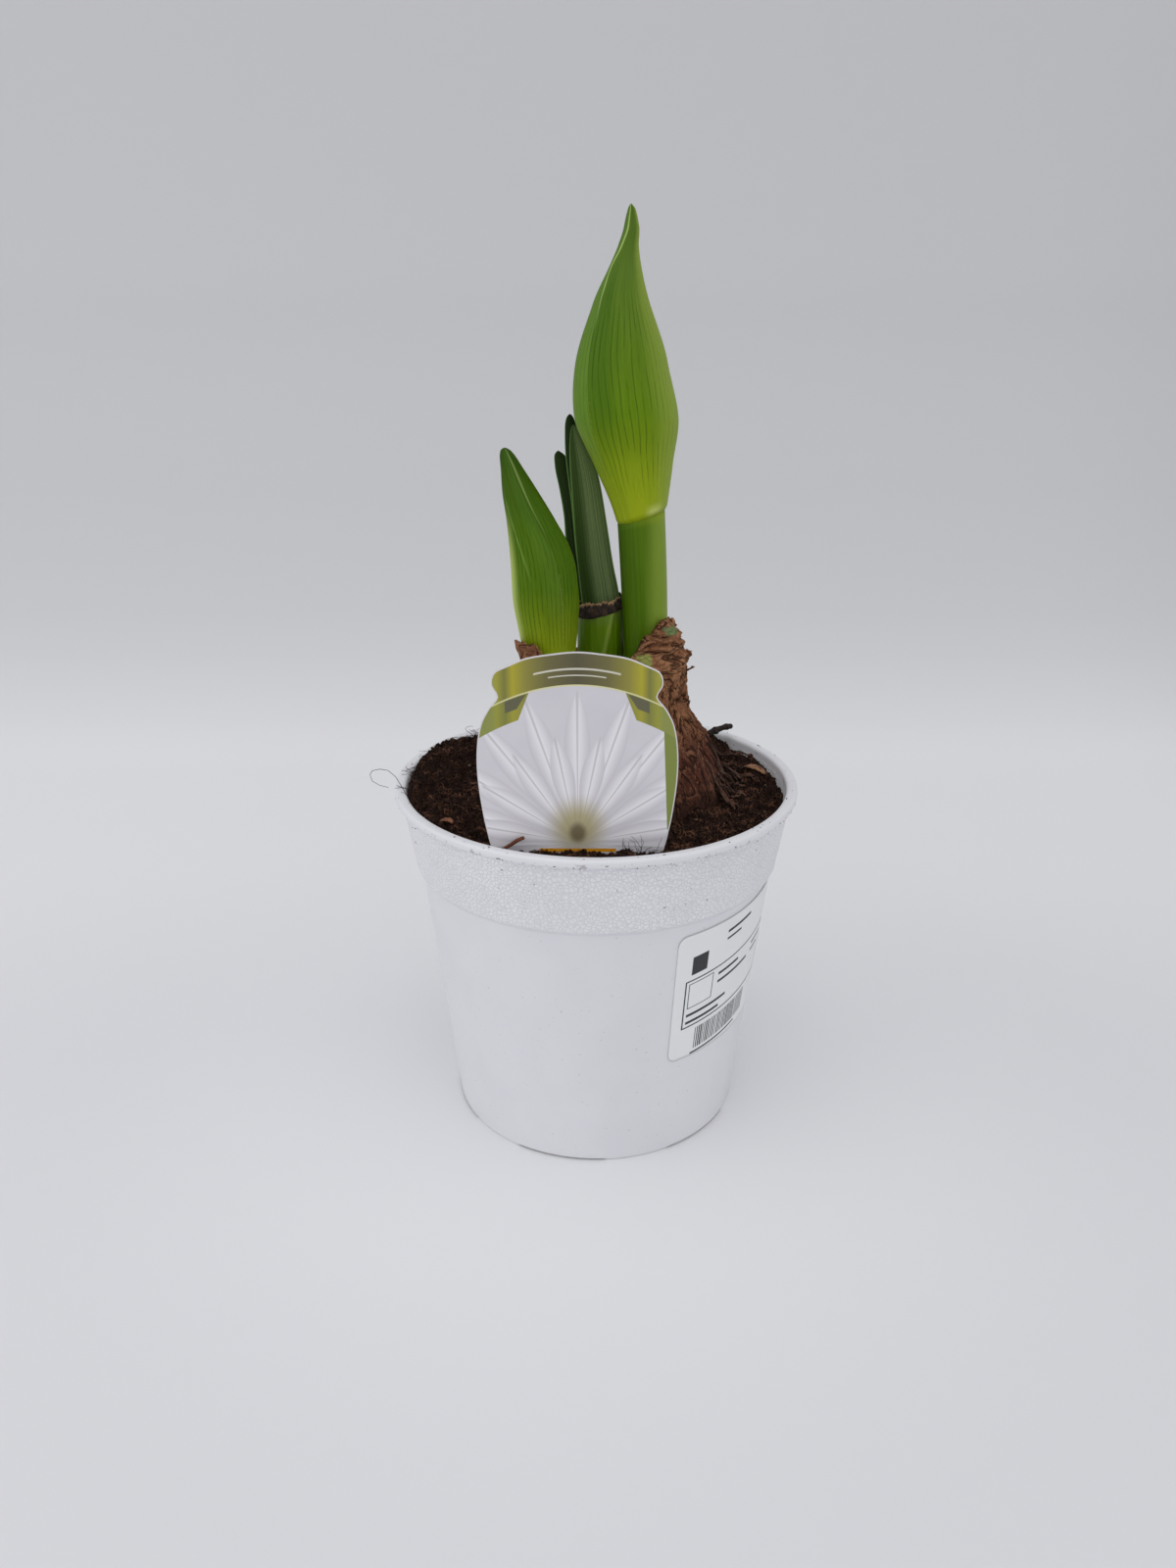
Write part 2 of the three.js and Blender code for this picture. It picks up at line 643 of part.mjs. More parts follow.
// A closed spathe: the outer valve stands proud of the inner one beside its seam
function bud(rows, centreY, seamRows, footAt, levels, grow) {
  const centre = column(rows, 1);
  const half = column(rows, 2);
  const seam = through(seamRows);
  const tip = rows[rows.length - 1][0];
  return loft(levels, BUD_COLUMNS, (share, angle) => {
    const foot = footAt(Math.cos(angle)) - grow;
    const height = mix(foot, tip, 1 - (1 - share) ** 1.4);
    const width = half(height);
    const degrees = Math.atan2(Math.sin(angle), Math.cos(angle)) / DEGREE;
    const past = (degrees - seam(height) + 540) % 360 - 180;
    const body = smooth((height - foot) / 14) * smooth((tip - height) / 14);
    const step = past > 0 && past < 180 ? SEAM_STEP * smooth(past / 14) * (1 - smooth(past / 150)) : 0;
    const radius = width + step * body + grow;
    const depth = mix(0.94, BUD_DEPTH, smooth((height - foot) / 20));
    const x = centre(height) + radius * Math.cos(angle);
    return new THREE.Vector3(x, centreY + depth * radius * Math.sin(angle), height);
  });
}

function tallBud() {
  const half = column(TALL_STALK, 2)(TALL_JOINT);
  const foot = (across) => TALL_JOINT + TALL_JOINT_SLOPE * half * across;
  return bud(TALL_BUD, TALL_Y, TALL_SEAM, foot, TALL_BUD_ROWS, 0);
}

function shortBud(grow) {
  return bud(SHORT_BUD, SHORT_Y, SHORT_SEAM, () => SHORT_JOINT, SHORT_BUD_ROWS, grow);
}

// Leaves

// A strap leaf, rounded towards the front, that narrows to its tip
function leaf({ rows, depth }, grow) {
  const centre = column(rows, 1);
  const half = column(rows, 2);
  const depthAt = through(depth);
  const tip = rows[rows.length - 1][0];
  return blade(LEAF_ROWS, LEAF_COLUMNS, (u, v, side) => {
    const height = mix(LEAF_FOOT - grow, tip, 1 - (1 - u) ** 1.3);
    const across = 2 * v - 1;
    const width = half(height) + grow;
    const channel = LEAF_CHANNEL * (width / 6) * across ** 2;
    const thin = mix(1, 0.6, across ** 2) * mix(1, 0.75, smooth(u));
    const y = depthAt(height) + channel - side * (LEAF_THICKNESS / 2 * thin + grow);
    return new THREE.Vector3(centre(height) + width * across, y, height);
  });
}

// Sheath

function sheathTop(across) {
  return SHEATH_TOP + SHEATH_SLOPE * SHEATH_HALF_WIDTH * across;
}

// One fold runs up the sheath's front, from its left foot to its right shoulder
function sheathPoint(height, angle, grow) {
  const foldAngle = mix(-115, -62, (height - SHEATH_FOOT) / (SHEATH_TOP - SHEATH_FOOT)) * DEGREE;
  const fold = 0.45 * Math.exp(-(((Math.atan2(Math.sin(angle), Math.cos(angle)) - foldAngle) / 0.16) ** 2));
  const taper = mix(0.98, 1, smooth((height - SHEATH_FOOT) / 20)) + grow / SHEATH_HALF_WIDTH;
  const x = SHEATH_X + (SHEATH_HALF_WIDTH * taper + fold) * Math.cos(angle);
  const y = SHEATH_Y + (SHEATH_HALF_DEPTH * taper + fold) * Math.sin(angle);
  return new THREE.Vector3(x, y, height);
}

function sheath(grow) {
  return loft(7, 24, (share, angle) => {
    const height = mix(SHEATH_FOOT - grow, sheathTop(Math.cos(angle)), share);
    return sheathPoint(height, angle, grow);
  });
}

// The dry edge is a ragged collar that stands on the sheath
function tornEdge() {
  const foot = (angle) => sheathTop(Math.cos(angle)) + CLEARANCE;
  const tear = (angle) => TORN_EDGE_HEIGHT * (0.75 + 0.3 * bumps(angle * 4, 1, 9) + 0.2 * bumps(angle * 9, 2, 9));
  const outer = loft(2, 28, (share, angle) => {
    const point = sheathPoint(foot(angle), angle, 0.25 - 0.9 * share);
    return point.setZ(foot(angle) + share * tear(angle));
  });
  const inner = loft(2, 28, (share, angle) => {
    const point = sheathPoint(foot(angle), angle, -TORN_EDGE_WALL - 0.5 * share);
    return point.setZ(foot(angle) - 1 + share * (TORN_EDGE_HEIGHT * 2 + 1));
  });
  return solid(outer).subtract(solid(inner));
}

// Loose bits on the soil

function twig(grow) {
  const from = new THREE.Vector3(...TWIG_FROM);
  const to = new THREE.Vector3(...TWIG_TO);
  const bend = from.clone().lerp(to, 0.45).add(new THREE.Vector3(0.4, 0.5, 0.7));
  const curve = new THREE.CatmullRomCurve3([from, bend, to]);
  const radius = (share) => TWIG_RADIUS * (1 - 0.25 * share + 0.12 * Math.sin(9 * share)) + grow;
  return taperedBar(curve, 7, 9, radius);
}

// A thin flake that arches over the soil under it
function flake({ x, y, length, width, turn, arch }, grow) {
  const base = soilHeight(x, y) + 0.5;
  const card = blade(7, 3, (u, v, side) => {
    const along = (2 * u - 1) * (length / 2 + grow);
    const share = 1 - (2 * u - 1) ** 2;
    const half = width / 2 * mix(0.35, 1, share ** 0.6) + grow;
    const lift = arch * share + 0.15 * Math.sin(7 * v) * share;
    return new THREE.Vector3(along, (2 * v - 1) * half, lift + side * (FLAKE_THICKNESS / 2 + grow));
  });
  card.rotateZ(turn * DEGREE);
  card.translate(x, y, base);
  return card;
}

// Assembly

const group = new THREE.Group();

function place(name, geometry, colour, roughness) {
  const material = new THREE.MeshStandardMaterial({ color: colour, roughness, metalness: 0 });
  const mesh = new THREE.Mesh(geometry, material);
  mesh.name = name;
  group.add(mesh);
}

place('pot', pot(), 0xe4e3e6, 0.45);
place('pot_sticker', sticker(), 0xf2f2f2, 0.55);
place('plant_label', closedMesh(label(0)), 0xdcd8dc, 0.35);

const labelCutter = solid(label(CLEARANCE));
const twigCutter = solid(twig(CLEARANCE));
const flakeCutter = solid(flake(FLAKE, CLEARANCE));
const chipCutter = solid(flake(CHIP, CLEARANCE));
const soilCutters = [solid(bulbBody(CLEARANCE)), roots(CLEARANCE), labelCutter, twigCutter, flakeCutter, chipCutter];
place('potting_soil', geometryOf(cut(solid(soilBody()), ...soilCutters)), 0x2a1d18, 0.95);

const tallCutter = solid(tallStalk(CLEARANCE));
const shortCutters = [solid(shortStalk(CLEARANCE)), solid(shortBud(CLEARANCE))];
const sockets = [tallCutter, ...shortCutters, solid(sheath(CLEARANCE))];
place('bulb', geometryOf(cut(solid(bulbBody(0)), ...sockets)), 0x7a5038, 0.8);
place('roots', geometryOf(roots(0)), 0xd8c9a4, 0.7);

place('tall_stalk', closedMesh(tallStalk(0)), 0x55801c, 0.45);
place('tall_bud', closedMesh(tallBud()), 0x6f9a2a, 0.45);
place('short_stalk', closedMesh(shortStalk(0)), 0x6f9422, 0.45);
place('short_bud', closedMesh(shortBud(0)), 0x5f8a1e, 0.45);

const leafCutters = [];
for (const [name, form] of Object.entries(LEAVES)) {
  place(name, closedMesh(leaf(form, 0)), form.colour, 0.45);
  leafCutters.push(solid(leaf(form, CLEARANCE)));
}
place('leaf_sheath', geometryOf(cut(solid(sheath(0)), tallCutter, ...leafCutters)), 0x55801f, 0.5);
place('sheath_torn_edge', geometryOf(cut(tornEdge(), tallCutter, ...leafCutters)), 0x3a2a1c, 0.9);

place('twig', closedMesh(twig(0)), 0x2e2018, 0.9);
place('bark_flake', closedMesh(flake(FLAKE, 0)), 0x9a7350, 0.85);
place('bark_chip', closedMesh(flake(CHIP, 0)), 0x8a5a38, 0.85);

export default group;
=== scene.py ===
"""Potted amaryllis, dressed for rendering.

A bulb with two closed buds and young leaves stands in a white nursery pot, behind a
die-cut plant label. Metres, +Z up, front towards -Y. Tables of rows are in millimetres.
"""

import math
import random

import bpy
import numpy as np
from mathutils import Euler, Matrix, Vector, noise


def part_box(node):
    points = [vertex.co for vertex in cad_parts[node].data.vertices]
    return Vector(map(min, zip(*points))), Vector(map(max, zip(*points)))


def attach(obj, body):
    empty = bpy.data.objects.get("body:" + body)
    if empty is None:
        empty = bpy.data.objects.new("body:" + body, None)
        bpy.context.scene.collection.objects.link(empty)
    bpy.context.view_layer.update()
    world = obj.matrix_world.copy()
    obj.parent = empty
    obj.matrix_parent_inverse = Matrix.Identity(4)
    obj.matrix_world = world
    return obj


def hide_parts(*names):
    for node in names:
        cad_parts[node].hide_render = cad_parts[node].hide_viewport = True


bl_info = {
    "name": "Potted amaryllis",
    "version": (1, 0, 0),
    "blender": (4, 5, 0),
    "location": "3D View > Sidebar > Amaryllis",
    "description": "Makes a potted amaryllis bulb with two buds in a white nursery pot",
    "category": "Object",
}

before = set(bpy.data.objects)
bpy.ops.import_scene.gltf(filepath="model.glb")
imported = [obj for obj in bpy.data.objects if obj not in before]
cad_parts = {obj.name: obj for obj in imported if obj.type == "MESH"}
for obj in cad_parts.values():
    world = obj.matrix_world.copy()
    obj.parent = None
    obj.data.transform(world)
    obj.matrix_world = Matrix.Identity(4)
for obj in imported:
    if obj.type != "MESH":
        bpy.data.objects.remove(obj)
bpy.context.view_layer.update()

MM = 0.001
DEGREE = math.pi / 180
FULL_TURN = 2 * math.pi

# Bulb rows: height, half width across the front, half depth
BULB_ROWS = [
    (44, 13, 13), (50, 26, 26), (62, 36, 36), (80, 41.5, 41.5), (96, 42.3, 42.3), (112, 39.6, 39.6),
    (120, 37.2, 36), (127, 33.2, 30), (134, 28, 23.5), (141, 26.3, 19.5), (150, 26.2, 17.5),
    (158, 24.9, 16.5), (167, 20.2, 14),
]
BULB_X = 2.5
BULB_Y = 6
NECK_Y = 8
NECK_FLOOR = 146
CRACK_COUNT = 46
# Heights where the smooth skin turns to strips, then to folds, then to fine wrinkles
STRIPS_FROM = 123
FOLDS_FROM = 144
WRINKLES_FROM = 154
# What every scrap of tunic carries: height on a fold, which sets the tunic's painted light and shade, and the
# two green places
SKIN_MARKS = ("high", "flesh", "fresh")
# Torn upper edge of the papery neck: degrees from +X, height
NECK_EDGE = [
    (-180, 159), (-150, 154), (-110, 149), (-86, 149), (-73, 156), (-62, 160.5), (-50, 163.5),
    (-36, 165.6), (-20, 166.2), (-5, 166), (15, 165), (40, 156), (90, 151), (140, 152), (180, 159),
]

# Stalk, bud and leaf rows: height, centre x, half width
TALL_Y = 8
TALL_JOINT = 197.5
TALL_JOINT_SLOPE = 0.33
TALL_STALK = [(136, 16.3, 6.6), (153, 15.9, 6.8), (172, 15.2, 7.1), (198, 13.7, 7.3), (204, 13.2, 7.4)]
TALL_BUD = [
    (192, 14.4, 7.0), (198, 13.5, 7.9), (203, 12.9, 9.1), (214, 11, 12.2), (227, 8.9, 15.5),
    (242, 7.4, 13.5), (258, 7.2, 8.2), (268.3, 8.3, 4.4), (273.4, 9.1, 2.9), (278.4, 9.9, 2.1),
    (282.2, 9.9, 1.2), (283.9, 9.7, 0.5),
]
# Seam rows: height, bearing of the outer valve's edge in degrees
TALL_SEAM = [
    (196, -128), (227, -134), (250, -136), (262, -138), (268, -145), (273, -130), (278, -119), (284, -115),
]
SHORT_Y = 0
SHORT_JOINT = 151
SHORT_STALK = [(136, -13.6, 6.4), (151, -14.3, 7.2), (156, -14.5, 7.9)]
SHORT_BUD = [
    (148, -14.2, 7.1), (157, -14.6, 8.2), (165, -15, 9.3), (174, -15.5, 10.2), (183, -16.1, 9.9),
    (189, -17.1, 9.2), (197.8, -19.8, 7.2), (205.8, -22.7, 5.3), (212.7, -25, 3.3), (216.3, -26.2, 2.3),
    (218.7, -27, 1.1),
]
SHORT_SEAM = [(150, -55), (183, -60), (205, -75), (219, -80)]
# Depth of a stalk and of a bud as a share of its width
STALK_DEPTH = 0.94
BUD_DEPTH = 0.78
STALK_FOOT = 136

# Each leaf: rows of height, centre x and half width, then rows of height and centre y
LEAF_FOOT = 158
LEAVES = {
    "leaf_front": (
        [
            (158, 1.9, 4.6), (166, 1.8, 5.3), (171, 1.4, 6.1), (183, -0.4, 5.6), (196, -2, 5.1),
            (208, -3.5, 4.4), (216, -5.1, 3.1), (221, -6.3, 1.7), (224, -7, 0.5),
        ],
        [(158, 10), (171, 10), (224, 14)],
    ),
    "leaf_middle": (
        [
            (158, 1.9, 5), (171, 1.2, 5.7), (185, -1, 5.4), (199, -3, 4.7), (214, -6, 3.5),
            (221.7, -7.5, 2.2), (224.6, -8, 1.5), (226.8, -8.1, 0.7),
        ],
        [(158, 13), (171, 13), (226.8, 18)],
    ),
    "leaf_left": (
        [
            (158, 1.9, 4.4), (166, 1, 5.2), (173, -1, 6.6), (180, -2.6, 6.3), (187, -4, 5.7),
            (195, -5.4, 4.8), (204, -8.2, 3.4), (210.3, -10.3, 2.6), (212.4, -10.8, 2.3),
            (214.2, -11.4, 1.7), (215.7, -11.9, 0.7),
        ],
        [(158, 16), (171, 16.2), (215.7, 20.5)],
    ),
}
# How far each leaf's green is darkened as painted shade, and how strong the painted sheen towards its right
# side is
LEAF_TONES = {"leaf_front": (0.25, 0.95), "leaf_middle": (1.0, 0.0), "leaf_left": (0.85, 0.0)}

SHEATH_X = 1.9
SHEATH_Y = 13
SHEATH_FOOT = 138
SHEATH_TOP = 167.6
SHEATH_SLOPE = 0.22
SHEATH_HALF_WIDTH = 7.1
SHEATH_HALF_DEPTH = 7

# Half outline of the label from its top middle down: half width, height above the soil
LABEL_HALF_OUTLINE = [
    (7.6, 59.2), (14, 58.1), (19.1, 56), (22.6, 54.3), (23.6, 52.3), (23.6, 50.3), (22.1, 47.2),
    (24.6, 43.8), (26.7, 39.8), (27.8, 35.2), (28.3, 29.5), (28.2, 23.5), (27.6, 17.2), (26.2, 8.2),
    (23.6, -1), (17, -8.5), (7.5, -13), (5.5, -17), (4.4, -34), (1, -46),
]
LABEL_CENTRE_X = -5.2
LABEL_FRONT_Y = -50
LABEL_FOOT_HEIGHT = 110
LABEL_TOP = 59.9

# Foot ring of the pot: notches, the first one's bearing off the front and half its span in degrees
NOTCH_COUNT = 6
NOTCH_BEARING = -14.2
NOTCH_HALF_SPAN = 17
# Drain holes: how many stand round the middle one, how far out, and their radius
HOLE_COUNT = 8
HOLE_REACH = 33
HOLE_RADIUS = 4
# The pot's body ends this far under the collar's foot
BODY_TOP_DROP = 1.2

# Sticker: height of its foot, bearing of its left end in degrees, rise to the right, corner radius
STICKER_FOOT = 36.5
STICKER_BEARING = 25.4
STICKER_SLOPE = 0.06
STICKER_CORNER = 3

SOIL_BOTTOM = 4.5
CLOD = (40.5, 37.5)
CLOD_RADIUS = 7
CLOD_HEIGHT = 5.6

TWIG_POINTS = [(39.3, 37.6, 115.9), (44, 39.2, 117.9), (48.8, 40, 118.6)]
TWIG_RADIUS = 1.25
# Bark flakes: x, y, length, width, turn in degrees, arch
CURLED_FLAKE = (53.5, 17, 9.5, 3.4, -38, 1.3)
SMALL_CHIP = (-45.2, -32.1, 4.2, 2, -25, 0.5)
# Curled hairs at the rim and the dry root bit: x, y, height, radius
CURLED_HAIRS = [
    [
        (-56.8, -26.6, 117.2, 0.12), (-58.6, -27.4, 121.6, 0.11), (-60.6, -27.0, 125.2, 0.1),
        (-62.8, -26.9, 127.2, 0.09), (-65.2, -26.8, 127.6, 0.1), (-67.6, -26.6, 127.0, 0.09),
        (-68.4, -26.5, 125.6, 0.08), (-67.8, -26.6, 123.6, 0.08), (-65.6, -26.8, 122.3, 0.07),
        (-63.0, -27.2, 121.8, 0.07),
    ],
    [
        (-57.5, -22, 115.6, 0.12), (-61.5, -22.6, 117.6, 0.1), (-64.8, -23, 117.0, 0.08),
        (-67.4, -23.2, 114.8, 0.06),
    ],
]
RIM_HAIR_COUNT = 52
TUFT_HAIR_COUNT = 16
DRY_ROOT_BIT = [
    (-20.5, -51.6, 116.2, 0.5), (-22.4, -52.2, 115.6, 0.6), (-24.4, -52.4, 114.2, 0.55),
    (-26.4, -51.6, 112.6, 0.5), (-28.2, -50.4, 111.4, 0.4),
]

# Camera: focal length and height of the frame in pixels, long side of the frame in mm, turns in degrees
FOCAL_PIXELS = 1204
FRAME_PIXELS = 1600
FRAME_SIZE = 36
CAMERA_DOWN = 21.64
CAMERA_ROLL = 0.09
CAMERA_ASIDE = 0.38


# Numbers

def mix(start, end, share):
    return start + (end - start) * share


def smooth(share):
    t = min(max(share, 0), 1)
    return t * t * (3 - 2 * t)


def through(pairs):
    """A smooth line through (place, value) pairs that never overshoots them."""
    rises = [(b[1] - a[1]) / (b[0] - a[0]) for a, b in zip(pairs, pairs[1:])]
    slopes = [rises[0]]
    for before, after in zip(rises, rises[1:]):
        slopes.append(0 if before * after <= 0 else 2 * before * after / (before + after))
    slopes.append(rises[-1])

    def at(place):
        i = 0
        while i < len(pairs) - 2 and place > pairs[i + 1][0]:
            i += 1
        span = pairs[i + 1][0] - pairs[i][0]
        t = min(max((place - pairs[i][0]) / span, 0), 1)
        square = t * t
        cube = square * t
        start = (2 * cube - 3 * square + 1) * pairs[i][1] + (cube - 2 * square + t) * span * slopes[i]
        end = (3 * square - 2 * cube) * pairs[i + 1][1] + (cube - square) * span * slopes[i + 1]
        return start + end

    return at


def column(rows, index):
    return through([(row[0], row[index]) for row in rows])


def draw(i, j, seed):
    """A repeatable draw between 0 and 1 for a grid cell."""
    value = math.sin(i * 127.1 + j * 311.7 + seed * 74.7) * 43758.5453
    return value - math.floor(value)


def bumps(x, y, seed):
    """Smooth bumps between -1 and 1, about one unit apart."""
    i = math.floor(x)
    j = math.floor(y)
    u = smooth(x - i)
    v = smooth(y - j)
    low = mix(draw(i, j, seed), draw(i + 1, j, seed), u)
    high = mix(draw(i, j + 1, seed), draw(i + 1, j + 1, seed), u)
    return 2 * mix(low, high, v) - 1


def window(value, start, end, ease):
    """1 between start and end, easing to 0 at both."""
    return smooth((value - start) / ease) * smooth((end - value) / ease)


def mound(x, y, middle, spread):
    """1 at the middle of a low mound, and less over its spread."""
    return math.exp(-(((x - middle[0]) / spread[0]) ** 2 + ((y - middle[1]) / spread[1]) ** 2))


def circle(turn, radius):
    """A place on a circle: grain that is read along it meets itself after a full turn."""
    return math.cos(turn) * radius, math.sin(turn) * radius


def grain(x, y, z):
    return noise.noise(Vector((x, y, z)))


def plate(x, y, z):
    """Crumpled skin: 0 along a sharp crease, 1 on the rounded plates between the creases."""
    return min(abs(grain(x, y, z)) * 3.2, 1) ** 0.6


def degrees_of(turn):
    """A turn in degrees, between -180 and 180."""
    return math.atan2(math.sin(turn), math.cos(turn)) / DEGREE


def shade(red, green, blue):
    """A display colour, 0 to 255 a channel, in the linear values that shaders use."""
    def linear(value):
        share = value / 255
        return share / 12.92 if share <= 0.04045 else ((share + 0.055) / 1.055) ** 2.4
    return (linear(red), linear(green), linear(blue))


# Sizes and colours that a user can change

def length(name, description, default):
    return bpy.props.FloatProperty(name=name, description=description, default=default, min=0, unit="LENGTH")


def count(name, description, default):
    return bpy.props.IntProperty(name=name, description=description, default=default, min=0)


def colour(name, description, red, green, blue):
    return bpy.props.FloatVectorProperty(
        name=name, description=description, default=shade(red, green, blue),
        subtype="COLOR", size=3, min=0, max=1)


class PotSettings(bpy.types.PropertyGroup):
    """Sizes and colours of the nursery pot and its sticker."""
    height: length("Height", "Height of the pot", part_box("pot")[1][2])
    rim_radius: length("Rim radius", "Outer radius of the lip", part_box("pot")[1][0])
    rim_inner_radius: length("Rim inner radius", "Inner radius of the lip", 0.0615)
    lip_height: length("Lip height", "Height of the lip above the collar", 0.0026)
    collar_top_radius: length("Collar top radius", "Radius of the collar under the lip", 0.0632)
    step_height: length("Collar foot height", "Height of the collar's lower edge", 0.089)
    step_radius: length("Collar foot radius", "Radius of the collar's lower edge", 0.0593)
    body_top_radius: length("Body top radius", "Radius of the body under the collar", 0.0578)
    base_radius: length("Base radius", "Radius of the foot", 0.0482)
    wall: length("Wall", "Thickness of the wall", 0.0012)
    notch_height: length("Notch height", "Height of the notches in the foot ring", 0.0012)
    crackle_size: length("Crackle size", "Size of the embossed grain on the collar", 0.00125)
    speck_count: count("Specks", "Soil specks on the lip and the collar", 260)
    plastic: colour("Plastic", "Colour of the pot", 226, 226, 231)
    sticker_width: length("Sticker width", "Length of the sticker round the pot", 0.058)
    sticker_height: length("Sticker height", "Height of the sticker", 0.047)
    paper: colour("Sticker paper", "Colour of the sticker", 236, 236, 238)
    ink: colour("Sticker ink", "Colour of the printed rules and bars", 42, 42, 46)


class LabelSettings(bpy.types.PropertyGroup):
    """Sizes and colours of the plant label."""
    thickness: length("Thickness", "Thickness of the card", 0.0006)
    margin: length("Margin", "Width of the pale line round the print", 0.00035)
    lean: bpy.props.FloatProperty(
        name="Lean", description="How far the label leans back", default=2 * DEGREE, subtype="ANGLE")
    card: colour("Card", "Colour of the bare card", 214, 210, 214)
    field: colour("Field", "Colour of the printed field", 214, 211, 218)
    accent: colour("Accent", "Colour of the printed rule", 222, 150, 24)


class SoilSettings(bpy.types.PropertyGroup):
    """Sizes and colours of the soil and the bits in it."""
    level: length("Level", "Height of the soil's surface", 0.1108)
    lump: length("Lumps", "Height of the soil's lumps", 0.0009)
    crumb_count: count("Crumbs", "Loose crumbs on the soil", 8000)
    fibre_count: count("Fibres", "Peat fibres on the soil", 4200)
    peat: colour("Peat", "Dark tone of the soil", 24, 15, 13)
    crumb: colour("Crumb", "Light tone of the soil", 74, 52, 43)
    bark: colour("Bark", "Colour of the bark flakes", 158, 116, 84)
    twig: colour("Twig", "Colour of the twig", 52, 38, 32)


class BulbSettings(bpy.types.PropertyGroup):
    """Sizes and colours of the bulb and its dry tunic."""
    fold: length("Folds", "Height of the tunic's broad folds", 0.00045)
    wrinkle: length("Wrinkles", "Height of the neck's wrinkles", 0.0012)
    flake_count: count("Flakes", "Loose flakes of dry tunic", 30)
    strip_count: count("Strips", "Dry strips that run from the bulb to the soil", 44)
    tunic: colour("Tunic", "Colour of the bulb's dry skin", 108, 65, 49)
    neck: colour("Neck", "Colour of the papery neck", 152, 102, 72)
    # Pale tone of the dry skin, also painted as highlight on fold tops and crests.
    tunic_pale_and_highlight: colour("Tunic light", "Light tone of the dry skin", 170, 124, 90)
    # Painted shade in the tunic's folds, creases and the neck's opening.
    tunic_fold_shade: colour("Tunic dark", "Tone in the folds", 34, 19, 14)
    flesh: colour("Flesh", "Green flesh that shows through", 150, 154, 84)
    root: colour("Root", "Colour of the fleshy roots", 216, 201, 164)


class PlantSettings(bpy.types.PropertyGroup):
    """Sizes and colours of the stalks, buds and leaves."""
    vein_count: count("Bud veins", "Veins round a bud", 44)
    seam_step: length("Seam step", "How far the outer valve stands off the inner one", 0.0005)
    leaf_thickness: length("Leaf thickness", "Thickness of a leaf", 0.0014)
    leaf_channel: length("Leaf channel", "Depth of a leaf's channel", 0.0011)
    bud_foot: colour("Bud foot", "Yellow green at the foot of a bud", 162, 176, 26)
    bud_middle: colour("Bud middle", "Green of a bud's middle", 96, 130, 6)
    bud_top: colour("Bud top", "Green of a bud's tip", 84, 112, 36)
    short_middle: colour("Short bud", "Green of the short bud's middle", 70, 104, 2)
    short_top: colour("Short bud top", "Green of the short bud's tip", 32, 62, 0)
    stalk: colour("Stalk", "Green of the stalks", 74, 106, 2)
    stalk_light: colour("Stalk light", "Light green of a stalk's sunny side", 122, 146, 48)
    leaf: colour("Leaf", "Green of the leaves", 52, 74, 24)
    leaf_pale: colour("Leaf edge", "Pale green of the leaf edges", 104, 140, 70)
    sheath: colour("Sheath", "Green of the sheath", 98, 132, 12)
    torn: colour("Torn edge", "Brown of the sheath's torn edge", 62, 44, 32)


class StageSettings(bpy.types.PropertyGroup):
    """Floor, light and camera."""
    camera_distance: length("Camera distance", "How far in front of the pot the camera stands", 0.3592)
    camera_height: length("Camera height", "Height of the camera", 0.2547)
    lens: bpy.props.FloatProperty(
        name="Lens", description="Focal length for a 36 mm frame",
        default=FOCAL_PIXELS / FRAME_PIXELS * FRAME_SIZE, subtype="DISTANCE_CAMERA")
    floor: colour("Floor", "Colour of the floor and backdrop", 226, 226, 230)
    ambient: bpy.props.FloatProperty(
        name="Ambient", description="Strength of the light all round", default=0.845)
    overhead: bpy.props.FloatProperty(
        name="Overhead", description="Power of the soft light overhead", default=2.7, unit="POWER")
    side: bpy.props.FloatProperty(
        name="Side", description="Power of the soft light on the left", default=0.8, unit="POWER")


SETTINGS = {
    "amaryllis_pot": PotSettings,
    "amaryllis_label": LabelSettings,
    "amaryllis_soil": SoilSettings,
    "amaryllis_bulb": BulbSettings,
    "amaryllis_plant": PlantSettings,
    "amaryllis_stage": StageSettings,
}


# Shaders

class Number:
    """A value in a material: arithmetic on it adds Math nodes."""

    def __init__(self, finish, socket):
        self.finish = finish
        self.socket = socket

    def math(self, operation, *others):
        return self.finish.math(operation, self, *others)

    def __add__(self, other):
        return self.math("ADD", other)

    def __sub__(self, other):
        return self.math("SUBTRACT", other)

    def __rsub__(self, other):
        return self.finish.math("SUBTRACT", other, self)

    def __mul__(self, other):
        return self.math("MULTIPLY", other)

    def __truediv__(self, other):
        return self.math("DIVIDE", other)

    def __rtruediv__(self, other):
        return self.finish.math("DIVIDE", other, self)

    def __pow__(self, other):
        return self.math("POWER", other)

    def __gt__(self, other):
        return self.math("GREATER_THAN", other)

    def __lt__(self, other):
        return self.math("LESS_THAN", other)

    def __abs__(self):
        return self.math("ABSOLUTE")

    __radd__ = __add__
    __rmul__ = __mul__

    def fraction(self):
        return self.math("FRACT")

    def sine(self):
        return self.math("SINE")

    def least(self, other):
        return self.math("MINIMUM", other)

    def most(self, other):
        return self.math("MAXIMUM", other)

    def rise(self, start, end):
        """0 before start, 1 after end, smooth between."""
        node = self.finish.node(
            "ShaderNodeMapRange", {"interpolation_type": "SMOOTHSTEP"},
            {"Value": self, "From Min": start, "From Max": end, "To Min": 0.0, "To Max": 1.0})
        return Number(self.finish, node.outputs[0])

    def fall(self, start, end):
        """1 before start, 0 after end, smooth between."""
        return 1 - self.rise(start, end)

    def near(self, middle, start, end):
        """1 closer than start to the middle, 0 past end: thin lines where it is read on noise."""
        return abs(self - middle).fall(start, end)


